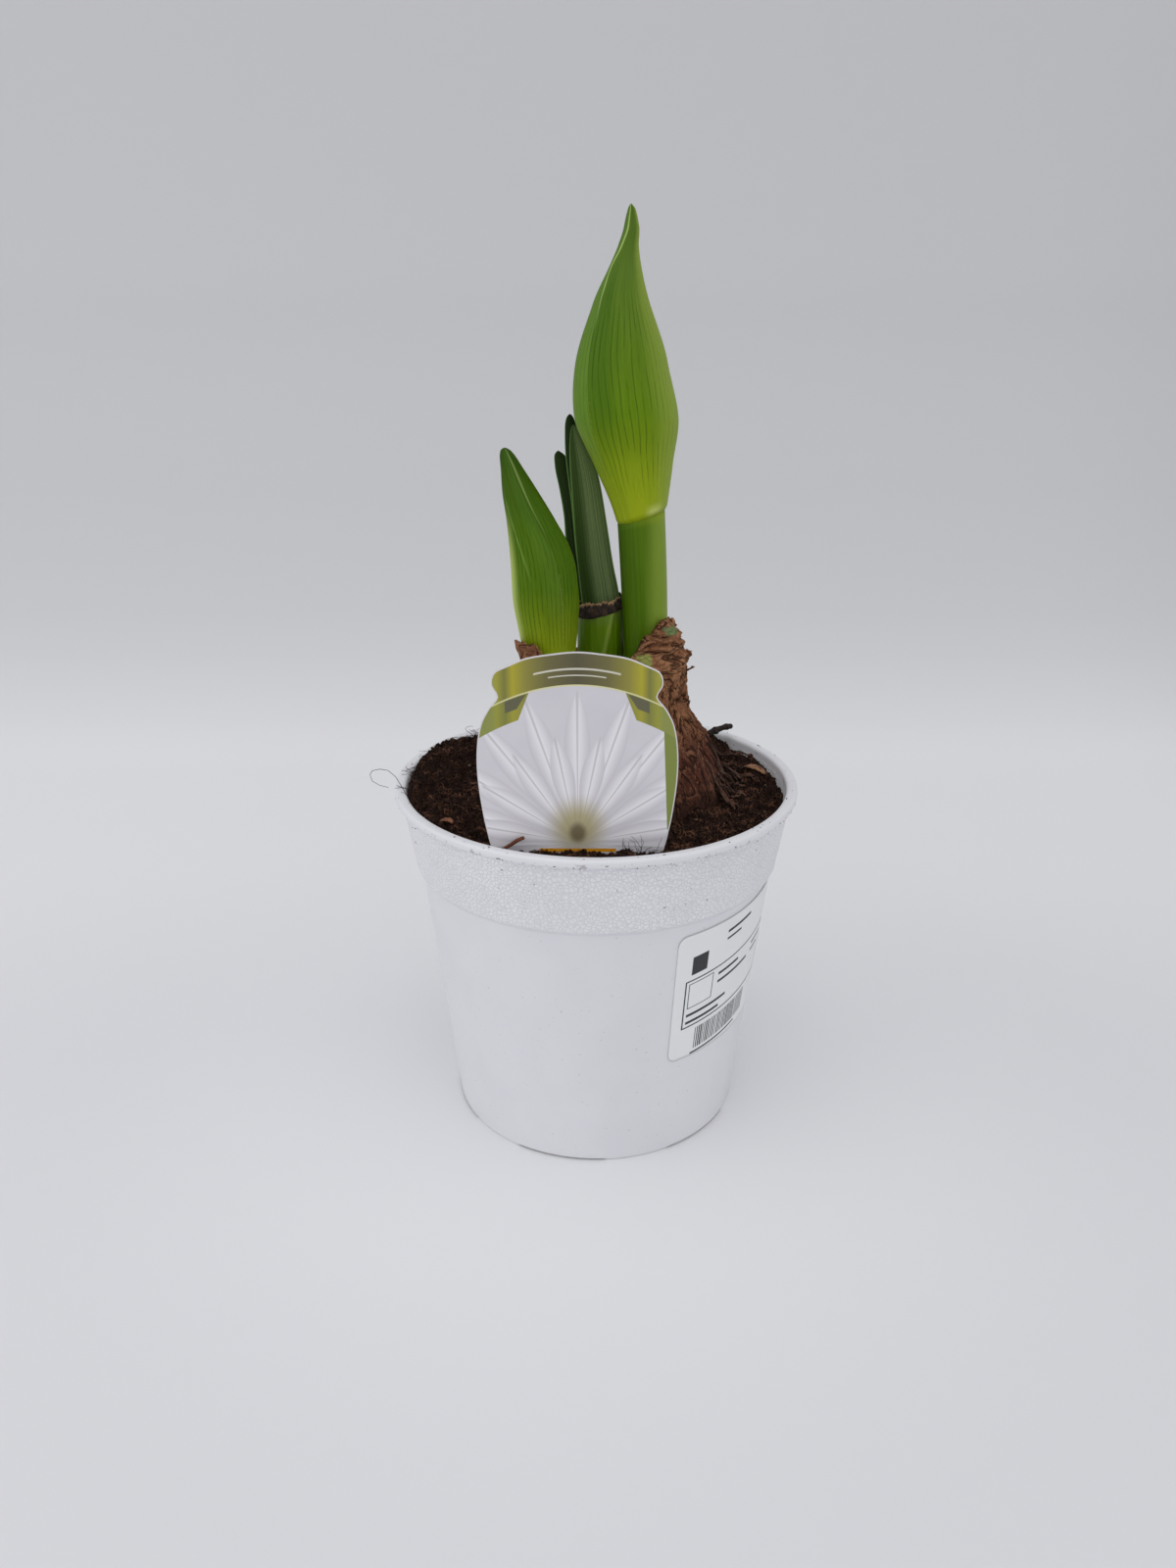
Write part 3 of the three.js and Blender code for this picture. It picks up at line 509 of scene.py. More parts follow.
class Finish:
    """A material with one shader, made by name from plain calls."""

    def __init__(self, name, **sockets):
        self.material = bpy.data.materials.new(name)
        self.material.use_nodes = True
        self.tree = self.material.node_tree
        self.tree.nodes.clear()
        self.shader = self.node("ShaderNodeBsdfPrincipled")
        surface = self.node("ShaderNodeOutputMaterial")
        self.tree.links.new(self.shader.outputs[0], surface.inputs["Surface"])
        self.set(**sockets)

    def feed(self, socket, value):
        if isinstance(value, Number):
            self.tree.links.new(value.socket, socket)
        elif isinstance(value, bpy.types.NodeSocket):
            self.tree.links.new(value, socket)
        elif socket.type == "RGBA" and len(value) == 3:
            socket.default_value = (*value, 1)
        else:
            socket.default_value = value

    def node(self, kind, settings=None, values=None):
        node = self.tree.nodes.new(kind)
        for key, value in (settings or {}).items():
            if key == "stops":
                self.stops(node.color_ramp, value)
            else:
                setattr(node, key, value)
        for key, value in (values or {}).items():
            self.feed(node.inputs[key], value)
        return node

    def stops(self, ramp, stops):
        while len(ramp.elements) > 1:
            ramp.elements.remove(ramp.elements[-1])
        ramp.elements[0].position = stops[0][0]
        ramp.elements[0].color = (*stops[0][1], 1)
        for place, tone in stops[1:]:
            ramp.elements.new(place).color = (*tone, 1)

    def set(self, **sockets):
        for key, value in sockets.items():
            self.feed(self.shader.inputs[key.replace("_", " ").title().replace("Ior", "IOR")], value)

    def math(self, operation, *values):
        node = self.node("ShaderNodeMath", {"operation": operation})
        for socket, value in zip(node.inputs, values):
            self.feed(socket, value)
        return Number(self, node.outputs[0])

    def place(self):
        """The place on the piece, in metres."""
        return self.node("ShaderNodeTexCoord").outputs["Object"]

    def chart(self):
        """The place on the piece's own UV map."""
        return self.node("ShaderNodeTexCoord").outputs["UV"]

    def mark(self, name):
        """A value that the mesh carries at its points."""
        node = self.node("ShaderNodeAttribute", {"attribute_type": "GEOMETRY", "attribute_name": name})
        return Number(self, node.outputs["Fac"])

    def axes(self, vector):
        node = self.node("ShaderNodeSeparateXYZ", {}, {"Vector": vector})
        return [Number(self, output) for output in node.outputs]

    def point(self, *values):
        node = self.node("ShaderNodeCombineXYZ")
        for socket, value in zip(node.inputs, values):
            self.feed(socket, value)
        return node.outputs[0]

    def stretch(self, vector, x, y, z):
        node = self.node("ShaderNodeVectorMath", {"operation": "MULTIPLY"}, {0: vector, 1: (x, y, z)})
        return node.outputs[0]

    def noise(self, vector, scale=1.0, detail=2.0, roughness=0.5, warp=0.0):
        values = {
            "Vector": vector, "Scale": scale, "Detail": detail, "Roughness": roughness, "Distortion": warp,
        }
        return Number(self, self.node("ShaderNodeTexNoise", {}, values).outputs[0])

    def cells(self, vector, scale=1.0, feature="F1", output="Distance"):
        node = self.node("ShaderNodeTexVoronoi", {"feature": feature}, {"Vector": vector, "Scale": scale})
        return Number(self, node.outputs[output])

    def tones(self, value, stops):
        return self.node("ShaderNodeValToRGB", {"stops": stops}, {"Fac": value}).outputs["Color"]

    def blend(self, factor, first, second):
        """The first colour where factor is 0, the second where it is 1."""
        node = self.node("ShaderNodeMix", {"data_type": "RGBA"})
        self.feed(node.inputs[0], factor)
        self.feed(node.inputs[6], first)
        self.feed(node.inputs[7], second)
        return node.outputs[2]

    def relief(self, height, depth):
        """A bump as deep as depth, in millimetres, where height goes from 0 to 1."""
        values = {"Height": height, "Distance": depth * MM, "Strength": 1.0}
        return self.node("ShaderNodeBump", {}, values).outputs["Normal"]


# Meshes

def deselect():
    bpy.ops.object.select_all(action="DESELECT")


def pick(piece):
    deselect()
    piece.select_set(True)
    bpy.context.view_layer.objects.active = piece


def start_edit(piece, mode="VERT"):
    pick(piece)
    bpy.ops.object.mode_set(mode="EDIT")
    bpy.ops.mesh.select_mode(type=mode)
    bpy.ops.mesh.select_all(action="SELECT")


def end_edit():
    bpy.ops.object.mode_set(mode="OBJECT")


def select_points(piece, wanted):
    """Selects, in edit mode, the points whose place passes the test."""
    bpy.ops.mesh.select_all(action="DESELECT")
    end_edit()
    for vertex in piece.data.vertices:
        vertex.select = wanted(vertex.co)
    bpy.ops.object.mode_set(mode="EDIT")


def apply_modifier(piece, kind, **settings):
    pick(piece)
    modifier = piece.modifiers.new(kind.title(), kind)
    for key, value in settings.items():
        setattr(modifier, key, value)
    bpy.ops.object.modifier_apply(modifier=modifier.name)


def close_up(piece, gap=0.004):
    """Merges doubled points, turns the faces outwards and smooths them."""
    start_edit(piece)
    bpy.ops.mesh.remove_doubles(threshold=gap * MM)
    bpy.ops.mesh.dissolve_degenerate(threshold=0.0005 * MM)
    bpy.ops.mesh.select_all(action="SELECT")
    bpy.ops.mesh.normals_make_consistent(inside=False)
    end_edit()
    pick(piece)
    bpy.ops.object.shade_smooth()
    return piece


def sheet(name, columns, rows, place, marks=()):
    """A grid of quads moved to place(u, v), which gives x, y, z and then a value for each mark."""
    deselect()
    bpy.ops.mesh.primitive_grid_add(x_subdivisions=columns, y_subdivisions=rows, size=2, calc_uvs=True)
    piece = bpy.context.object
    piece.name = name
    piece.data.name = name
    values = [[] for _ in marks]
    for vertex in piece.data.vertices:
        spot = place((vertex.co.x + 1) / 2, (vertex.co.y + 1) / 2)
        vertex.co = Vector(spot[:3]) * MM
        for kept, value in zip(values, spot[3:]):
            kept.append(value)
    for name, kept in zip(marks, values):
        layer = piece.data.attributes.new(name, "FLOAT", "POINT")
        layer.data.foreach_set("value", kept)
    return piece


def round_body(name, columns, rows, ring, marks=()):
    """A closed body over rings: ring(share, turn) gives a point, and both ends are closed."""
    def middle(share):
        points = [ring(share, i / 24 * FULL_TURN) for i in range(24)]
        return [sum(values) / 24 for values in zip(*points)]
    foot = middle(0)
    head = middle(1)

    def place(u, v):
        step = round(v * (rows + 2))
        if step == 0:
            return foot
        if step == rows + 2:
            return head
        return ring((step - 1) / rows, u * FULL_TURN)

    return close_up(sheet(name, columns, rows + 2, place, marks))


def peel(name, columns, rows, place, thickness, marks=()):
    """A thin skin with both faces."""
    piece = sheet(name, columns, rows, place, marks)
    apply_modifier(piece, "SOLIDIFY", thickness=thickness * MM, offset=0)
    return close_up(piece, 0.001)


def join(name, pieces):
    deselect()
    for piece in pieces:
        piece.select_set(True)
    bpy.context.view_layer.objects.active = pieces[0]
    bpy.ops.object.join()
    pieces[0].name = name
    pieces[0].data.name = name
    return pieces[0]


def copies(name, pattern, spots):
    """One mesh with a copy of the pattern at each spot of place, sizes, turns and tone."""
    corners = np.array([vertex.co for vertex in pattern.data.vertices])
    faces = [list(face.vertices) for face in pattern.data.polygons]
    points = []
    sides = []
    tones = []
    for place, sizes, turns, tone in spots:
        start = len(points) * len(corners)
        points.append((corners * sizes) @ np.array(Euler(turns).to_matrix()).T + place)
        sides += [[start + corner for corner in face] for face in faces]
        tones += [tone] * len(corners)
    mesh = bpy.data.meshes.new(name)
    mesh.from_pydata((np.concatenate(points) * MM).tolist(), [], sides)
    mesh.attributes.new("tone", "FLOAT", "POINT").data.foreach_set("value", tones)
    bpy.data.objects.remove(pattern)
    piece = bpy.data.objects.new(name, mesh)
    bpy.context.scene.collection.objects.link(piece)
    return piece


def strands(name, paths, sides=0):
    """Thin round strands along paths of (x, y, z, radius) points, as one mesh."""
    curve = bpy.data.curves.new(name, "CURVE")
    curve.dimensions = "3D"
    curve.bevel_depth = MM
    curve.bevel_resolution = sides
    curve.use_fill_caps = True
    for path in paths:
        line = curve.splines.new("POLY")
        line.points.add(len(path) - 1)
        for point, (x, y, z, radius) in zip(line.points, path):
            point.co = (x * MM, y * MM, z * MM, 1)
            point.radius = radius
    piece = bpy.data.objects.new(name, curve)
    bpy.context.scene.collection.objects.link(piece)
    pick(piece)
    bpy.ops.object.convert(target="MESH")
    piece = bpy.context.object
    return close_up(piece, 0.002)


def wander(rng, start, heading, span, steps, bend, radius):
    """A path that wanders on from start, tapering to its end."""
    point = Vector(start)
    heading = Vector(heading).normalized()
    path = [(*point, radius)]
    for i in range(steps):
        heading = heading + Vector((rng.gauss(0, bend), rng.gauss(0, bend), rng.gauss(0, bend)))
        heading.normalize()
        point = point + heading * span / steps
        path.append((*point, radius * (1 - 0.5 * (i + 1) / steps)))
    return path


def dress(piece, finish, slot, *nodes):
    """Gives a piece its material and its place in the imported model."""
    piece.data.materials.clear()
    piece.data.materials.append(finish.material)
    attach(piece, "root")
    if nodes:
        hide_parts(*nodes)
    return piece


# Pot

def rounded(corners, steps=4):
    """A profile of (radius, height, rounding) corners with each corner eased."""
    points = [corners[0][:2]]
    for before, corner, after in zip(corners, corners[1:], corners[2:]):
        here = Vector(corner[:2])
        start = here + (Vector(before[:2]) - here).normalized() * corner[2]
        end = here + (Vector(after[:2]) - here).normalized() * corner[2]
        for i in range(steps + 1):
            t = i / steps
            points.append(tuple(start * (1 - t) ** 2 + here * 2 * t * (1 - t) + end * t ** 2))
    points.append(corners[-1][:2])
    return points


def pot_profile(sizes):
    """The wall's outline from the middle of the underside, up the outside and down the inside."""
    height = sizes.height / MM
    lip_foot = height - sizes.lip_height / MM
    step = sizes.step_height / MM
    wall = sizes.wall / MM
    base = sizes.base_radius / MM
    body_top = sizes.body_top_radius / MM
    rim = sizes.rim_radius / MM
    collar = sizes.step_radius / MM
    foot_ring = base - 3.2
    under_floor = 3
    floor = 4.2
    return rounded([
        (0, under_floor, 0), (foot_ring, under_floor, 0.5), (foot_ring, 0, 0.5), (base, 0, 0.7),
        (body_top, step - BODY_TOP_DROP, 0.5), (collar, step, 0.9),
        (sizes.collar_top_radius / MM, lip_foot, 0.35), (rim, lip_foot, 0.7), (rim, height, 1.1),
        (sizes.rim_inner_radius / MM, height, 1.2), (collar - wall, step, 0.5),
        (body_top - wall, step - BODY_TOP_DROP, 0.5), (base - wall + 0.4, floor, 0.8), (0, floor, 0),
    ])


def body_radius(sizes, height):
    """Outer radius of the pot's body at a height."""
    share = height / (sizes.step_height / MM - BODY_TOP_DROP)
    return mix(sizes.base_radius / MM, sizes.body_top_radius / MM, share)


def pot_plastic(sizes):
    finish = Finish("pot_plastic", roughness=0.34, coat_weight=0.1, coat_roughness=0.2)
    place = finish.place()
    _, _, z = finish.axes(place)
    collar = z.rise(0.0888, 0.0896) * z.fall(0.1118, 0.1126)
    crackle = finish.cells(place, 1 / sizes.crackle_size, "DISTANCE_TO_EDGE")
    line = crackle.fall(0.0, 0.13)
    fine = finish.noise(place, 2600.0, 2.0)
    soft = finish.noise(place, 60.0, 3.0)
    dusty = finish.noise(place, 420.0, 3.0, 0.6)
    under_lip = z.rise(0.1095, 0.1128) * z.fall(0.1136, 0.1142)
    dust = dusty.rise(0.58, 0.70) * under_lip * 0.5 + finish.noise(place, 900.0, 2.0).rise(0.70, 0.74) * 0.25
    # Painted light: the collar is made lighter than the body, offsetting the shade its grain and slope take.
    lit_collar = finish.blend(collar, sizes.plastic, shade(238, 238, 243))
    # Painted shade: the collar's crackle grooves are darkened in grey.
    shaded_plastic = finish.blend(collar * line * 0.2, lit_collar, shade(150, 148, 152))
    shaded_plastic = finish.blend(soft.rise(0.35, 0.7) * 0.25, shaded_plastic, shade(216, 216, 222))
    finish.set(
        base_color=finish.blend(dust, shaded_plastic, shade(120, 108, 100)),
        roughness=0.36 + collar * 0.12 + soft * 0.06,
        normal=finish.relief(collar * (1 - line) + fine * 0.08, 0.11),
    )
    return finish


def make_pot(sizes):
    deselect()
    bpy.ops.mesh.primitive_plane_add(size=MM)
    piece = bpy.context.object
    piece.name = "nursery_pot"
    profile = pot_profile(sizes)
    start_edit(piece)
    bpy.ops.mesh.merge(type="CENTER")
    bpy.ops.transform.translate(value=(0, 0, profile[0][1] * MM))
    for before, after in zip(profile, profile[1:]):
        move = ((after[0] - before[0]) * MM, 0, (after[1] - before[1]) * MM)
        bpy.ops.mesh.extrude_region_move(TRANSFORM_OT_translate={"value": move})
    bpy.ops.mesh.select_all(action="SELECT")
    bpy.ops.mesh.spin(steps=180, angle=FULL_TURN, center=(0, 0, 0), axis=(0, 0, 1))
    end_edit()
    close_up(piece)

    def in_notch(point):
        pitch = 360 / NOTCH_COUNT
        bearing = math.atan2(point.x, -point.y) / DEGREE
        off = (bearing - NOTCH_BEARING + pitch / 2) % pitch - pitch / 2
        return point.z < 0.6 * MM and abs(off) < NOTCH_HALF_SPAN

    start_edit(piece)
    select_points(piece, in_notch)
    bpy.ops.transform.translate(value=(0, 0, sizes.notch_height))
    end_edit()
    holes = []
    for i in range(HOLE_COUNT + 1):
        turn = i / HOLE_COUNT * FULL_TURN
        reach = 0 if i == HOLE_COUNT else HOLE_REACH * MM
        deselect()
        bpy.ops.mesh.primitive_cylinder_add(
            vertices=24, radius=HOLE_RADIUS * MM, depth=0.02, location=(*circle(turn, reach), 0.0036))
        holes.append(bpy.context.object)
    drill = join("drill", holes)
    apply_modifier(piece, "BOOLEAN", object=drill, operation="DIFFERENCE", solver="EXACT")
    bpy.data.objects.remove(drill)
    pick(piece)
    bpy.ops.object.shade_smooth_by_angle(angle=50 * DEGREE)
    dress(piece, pot_plastic(sizes), "pot_plastic", "pot")


def make_rim_specks(sizes, soil):
    """Soil specks: some lie on the lip, most in groups along its lower edge, the rest on the collar."""
    rng = random.Random(11)
    deselect()
    bpy.ops.mesh.primitive_ico_sphere_add(subdivisions=1, radius=1)
    pattern = bpy.context.object
    spots = []
    for _ in range(sizes.speck_count):
        turn = rng.uniform(0, FULL_TURN)
        where = rng.random()
        size = 0.09 + 0.22 * rng.random() ** 3
        long = size * rng.uniform(1, 3.2)
        if where < 0.34:
            radius, height = rng.uniform(62.2, 64.6), 115.0
        elif where < 0.8:
            radius, height = 64.95, 112.75 + rng.gauss(0, 0.25)
            turn = round(turn * 3) / 3 + rng.gauss(0, 0.1)
        else:
            height = rng.uniform(95, 112)
            radius = mix(59.3, 63.2, (height - 89) / 23.4) + 0.03
        place = (*circle(turn, radius), height)
        turns = (rng.gauss(0, 0.3), rng.gauss(0, 0.3), turn)
        spots.append((place, (size * 0.6, long, size * 0.6), turns, rng.random()))
    piece = copies("rim_specks", pattern, spots)
    dress(piece, soil_finish(soil, "speck_soil"), "soil")


# Sticker

def sticker_print(sizes):
    """Plain rules, a block and a row of bars, in millimetres from the sticker's lower left corner."""
    finish = Finish("sticker_paper", roughness=0.42)
    along = finish.mark("along")
    print_slope = 0.075
    up = finish.mark("up") - along * print_slope
    edge = finish.mark("edge")

    def bar(left, right, foot, head):
        return (along > left) * (along < right) * (up > foot) * (up < head)

    frame_lines = bar(3.8, 46, 11.4, 29.6) - bar(4.3, 45.5, 11.9, 29.1)
    square = bar(5.2, 14.8, 18.8, 28.2) - bar(5.5, 14.5, 19.1, 27.9)
    box = frame_lines.most(square)
    block = bar(5.6, 11.4, 31.4, 38)
    lines = [
        (19, 31, 40.2, 41.2), (19, 26, 37.6, 38.4), (17, 27, 25.8, 26.8), (17, 33, 22.8, 23.8),
        (5.2, 22, 15.7, 16.7), (5.2, 19, 12.9, 13.9), (36, 44, 25.8, 26.6), (36, 42, 23, 23.8),
        (8.5, 31, -0.2, 0.5),
    ]
    ink = box.most(block)
    for left, right, foot, head in lines:
        ink = ink.most(bar(left, right, foot, head))
    bars_a_mm = 1.25
    wide = finish.noise(finish.point((along * bars_a_mm).math("FLOOR"), 3.0, 1.0), 7.31, 0.0)
    bars = bar(9.5, 36, 1.6, 9.8) * ((along * bars_a_mm).fraction() < 0.1 + wide * 0.85)
    ink = ink.most(bars)
    paper = finish.blend(finish.noise(finish.place(), 90.0, 2.0) * 0.3, sizes.paper, shade(222, 222, 226))
    paper = finish.blend(edge.fall(0.15, 0.4), paper, shade(196, 196, 200))
    finish.set(base_color=finish.blend(ink, paper, sizes.ink), roughness=0.42 + ink * 0.1)
    return finish


def make_sticker(sizes):
    width = sizes.sticker_width / MM
    height = sizes.sticker_height / MM
    middle = body_radius(sizes, STICKER_FOOT + height / 2)

    def place(u, v):
        along = u * width
        near = min(along, width - along)
        reach = max(STICKER_CORNER - near, 0)
        inset = STICKER_CORNER - math.sqrt(STICKER_CORNER ** 2 - reach ** 2) if reach > 0 else 0
        up = mix(inset, height - inset, v)
        level = STICKER_FOOT + up + along * STICKER_SLOPE
        bearing = STICKER_BEARING * DEGREE + along / middle
        radius = body_radius(sizes, level) + 0.2
        edge = min(near if inset == 0 else 9, up - inset, height - inset - up)
        return radius * math.sin(bearing), -radius * math.cos(bearing), level, along, up, edge

    piece = peel("pot_side_sticker", 144, 40, place, 0.16, ("along", "up", "edge"))
    dress(piece, sticker_print(sizes), "sticker_paper", "pot_sticker")


# Label

def label_outline():
    """The card's outline in card coordinates, from the top middle clockwise."""
    right = list(LABEL_HALF_OUTLINE)
    corners = [(0, LABEL_TOP)] + right + [(-x, y) for x, y in reversed(right)]
    outline = []
    total = len(corners)
    for i in range(total):
        a, b, c, d = [Vector(corners[(i + k) % total]) for k in (-1, 0, 1, 2)]
        steps = max(int((c - b).length / 0.9), 1)
        for k in range(steps):
            t = k / steps
            ease = (c - a) * 0.5 * min((c - b).length / max((b - a).length, 0.1), 1)
            leave = (d - b) * 0.5 * min((c - b).length / max((d - c).length, 0.1), 1)
            point = b * (2 * t ** 3 - 3 * t ** 2 + 1) + ease * (t ** 3 - 2 * t ** 2 + t)
            point = point + c * (3 * t ** 2 - 2 * t ** 3) + leave * (t ** 3 - t ** 2)
            outline.append(point)
    return outline


def label_print(sizes):
    """A generic print: pale rays on a light field, dark stems, a rule, and a glossy band that arches."""
    finish = Finish("label_card", roughness=0.3, coat_weight=0.35, coat_roughness=0.15)
    place_x, _, place_z = finish.axes(finish.place())
    x = place_x * 1000 - LABEL_CENTRE_X
    y = (place_z * 1000 - LABEL_FOOT_HEIGHT) / math.cos(sizes.lean)
    side = abs(x)
    arch = y + x * x * 0.0108
    cloud = finish.noise(finish.place(), 55.0, 3.0).rise(0.3, 0.7) * 0.5
    field = finish.blend(cloud, sizes.field, shade(200, 197, 205))

    def fan(foot, leaves, reach, turn, under):
        """Pale pointed rays that spread from a place on the middle line."""
        above = y - foot
        far = (x * x + above * above) ** 0.5
        bearing = x.math("ARCTAN2", above)
        slot = bearing * (leaves / 3.6) + turn
        off = abs(slot.fraction() - 0.5) * 2
        share = far / reach
        half = (share * math.pi).sine() * 0.9
        inside = (half - off).rise(0.0, 0.12) * (share < 1.0)
        body = finish.blend(off / (half + 0.05), shade(240, 238, 243), shade(196, 191, 200))
        rib = off.fall(0.02, 0.09)
        body = finish.blend(rib * 0.5, body, shade(150, 146, 150))
        return finish.blend(inside, under, body)

    field = fan(4.0, 11, 46.0, 0.5, field)
    field = fan(4.0, 9, 33.0, 0.0, field)
    near = ((x * x + (y - 9) * (y - 9)) ** 0.5 / 11).fall(0.25, 1.0)
    field = finish.blend(near * 0.75, field, shade(156, 142, 58))
    spot = ((x * x * 1.6 + (y - 7) * (y - 7)) ** 0.5).fall(1.5, 4.2)
    field = finish.blend(spot * 0.8, field, shade(88, 74, 46))
    stem = (side > 24.5 - (y - 30) * 0.05) * (y < 44) * (y > 8)
    field = finish.blend(stem.least(1) * (x > 0), field, shade(122, 134, 52))
    rule = (abs(y - 1.6) < 0.55) * (side < 11)
    field = finish.blend(rule, field, sizes.accent)
    band_share = side / 24
    gloss = finish.tones(band_share, [
        (0.0, shade(80, 74, 46)), (0.35, shade(104, 98, 48)), (0.6, shade(140, 134, 44)),
        (0.74, shade(172, 162, 20)), (0.83, shade(118, 118, 44)), (0.93, shade(160, 156, 40)),
        (1.0, shade(140, 146, 70)),
    ])
    band = (arch > 50.6) * (y > 40)
    tab = (side > 13.5 + (50 - arch) * 0.45) * (arch > 43.5) * (arch < 50.8)
    fold = (side > 14.2 + (50 - arch) * 0.8) * (arch > 46.8) * (arch < 50.2) * (side < 20)
    colours = finish.blend(tab.most(0), field, finish.blend(0.35, gloss, shade(128, 136, 52)))
    colours = finish.blend(fold, colours, shade(92, 90, 62))
    colours = finish.blend(band, colours, gloss)
    line = (abs(arch - 50.6) < 0.22) * (side < 23.5)
    colours = finish.blend(line, colours, shade(214, 210, 160))
    star = (abs(arch - 55.2) < 0.28) * (side < 12) + (abs(arch - 53.4) < 0.18) * (side < 8)
    colours = finish.blend(star.least(1), colours, shade(206, 202, 186))
    finish.set(base_color=colours, roughness=0.3 + finish.noise(finish.place(), 200.0, 2.0) * 0.08)
    return finish


def label_board(sizes):
    finish = Finish("label_board", roughness=0.45)
    speckle = finish.noise(finish.place(), 900.0, 3.0)
    finish.set(base_color=finish.blend(speckle.rise(0.4, 0.7) * 0.3, sizes.card, shade(196, 192, 194)),
               roughness=0.45 + speckle * 0.1)
    return finish


def make_label(sizes):
    outline = label_outline()
    deselect()
    bpy.ops.mesh.primitive_circle_add(vertices=len(outline), radius=0.02, fill_type="NGON")
    piece = bpy.context.object
    piece.name = "plant_label_card"
    thickness = sizes.thickness
    for vertex, (x, y) in zip(piece.data.vertices, outline):
        vertex.co = (x * MM, 0, y * MM)
    piece.data.materials.append(label_print(sizes).material)
    piece.data.materials.append(label_board(sizes).material)
    start_edit(piece, "FACE")
    bpy.ops.mesh.inset(thickness=sizes.margin, use_even_offset=True)
    bpy.ops.mesh.select_all(action="INVERT")
    piece.active_material_index = 1
    bpy.ops.object.material_slot_assign()
    bpy.ops.mesh.select_all(action="SELECT")
    bpy.ops.transform.rotate(value=sizes.lean, orient_axis="X", center_override=(0, 0, 0))
    bpy.ops.transform.translate(value=(LABEL_CENTRE_X * MM, LABEL_FRONT_Y * MM, LABEL_FOOT_HEIGHT * MM))
    bpy.ops.mesh.normals_make_consistent(inside=False)
    end_edit()
    front = min(piece.data.polygons, key=lambda face: -face.area)
    if front.normal.y > 0:
        start_edit(piece)
        bpy.ops.mesh.flip_normals()
        end_edit()
    apply_modifier(piece, "SOLIDIFY", thickness=thickness, offset=0, use_even_offset=True)
    for face in piece.data.polygons:
        if face.normal.y > -0.5:
            face.material_index = 1
    apply_modifier(piece, "BEVEL", width=0.00008, segments=2, limit_method="ANGLE", angle_limit=1.0)
    pick(piece)
    bpy.ops.object.shade_smooth_by_angle(angle=35 * DEGREE)
    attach(piece, "root")
    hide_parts("plant_label")


# Soil

def soil_height(sizes, x, y):
    """The soil's broad height: a little higher at the left, lower at the right, with a clod at the back."""
    rim = 65
    edge = math.hypot(x, y) / 61.5
    left = smooth((-x + 0.6 * y) / rim) * smooth(edge)
    right = smooth((x + 0.4 * y) / rim) * smooth(edge)
    clod = math.exp(-(((x - CLOD[0]) ** 2 + (y - CLOD[1]) ** 2) / CLOD_RADIUS ** 2))
    lumps = bumps(x / 9, y / 9, 1) + 0.6 * bumps(x / 4, y / 4, 2)
    level = sizes.level / MM
    return level + 2.4 * left - 1.4 * right + CLOD_HEIGHT * clod + sizes.lump / MM * lumps * (1 - 0.6 * edge)


def rough_soil(sizes, x, y):
    """The soil's height with its clods, heaped a little higher at the left and right of the back."""
    left = 3.2 * mound(x, y, (-50, 24), (19, 17))
    right = 2.2 * mound(x, y, (51, 24), (9, 10))
    clods = 1.5 * plate(x / 4.4 + 7, y / 4.4, 3) + 0.8 * plate(x / 1.9, y / 1.9, 9)
    rough = clods + 0.5 * grain(x / 0.95, y / 0.95, 5) - 1.5
    return soil_height(sizes, x, y) + left + right + rough


def soil_finish(sizes, name="soil"):
    finish = Finish(name, roughness=0.92, specular_ior_level=0.08)
    place = finish.place()
    coarse = finish.noise(place, 260.0, 4.0, 0.65)
    fine = finish.noise(place, 1500.0, 4.0, 0.7, 0.6)
    thread = finish.noise(finish.stretch(place, 1.0, 2.2, 1.0), 900.0, 2.0, 0.5, 3.0)
    tone = finish.mark("tone")
    peat = finish.blend(fine.rise(0.44, 0.68), sizes.peat, sizes.crumb)
    peat = finish.blend(coarse.rise(0.4, 0.62) * 0.7, peat, shade(17, 12, 11))
    wisp = finish.noise(finish.stretch(place, 2.0, 1.0, 1.0), 1300.0, 2.0, 0.5, 3.5)
    peat = finish.blend(thread.near(0.5, 0.0, 0.02) * 0.6, peat, shade(112, 78, 60))
    peat = finish.blend(wisp.near(0.56, 0.0, 0.015) * 0.6, peat, shade(136, 100, 80))
    # Painted shade: near black in the low spots of the fine grain, the hollows of the soil's bump.
    peat = finish.blend(fine.fall(0.38, 0.5) * 0.85, peat, shade(8, 5, 5))
    peat = finish.blend(tone.rise(0.35, 0.95) * 0.6, peat, sizes.crumb)
    pale = (tone > 0.988).most(finish.cells(place, 420.0) < 0.07)
    finish.set(
        base_color=finish.blend(pale * 0.6, peat, shade(150, 128, 108)),
        roughness=0.8 + fine * 0.2,
        normal=finish.relief(fine + thread * 0.3, 0.6),
    )
    return finish


def fibre_finish(name, tone, dark):
    finish = Finish(name, roughness=0.8, specular_ior_level=0.1)
    place = finish.place()
    patch = finish.noise(place, 170.0, 2.0)
    streak = finish.noise(place, 2400.0, 2.0)
    finish.set(
        base_color=finish.blend(patch.rise(0.38, 0.62), dark, finish.blend(streak * 0.5, tone, dark)),
        roughness=0.7 + streak * 0.2,
        normal=finish.relief(streak, 0.06),
    )
    return finish


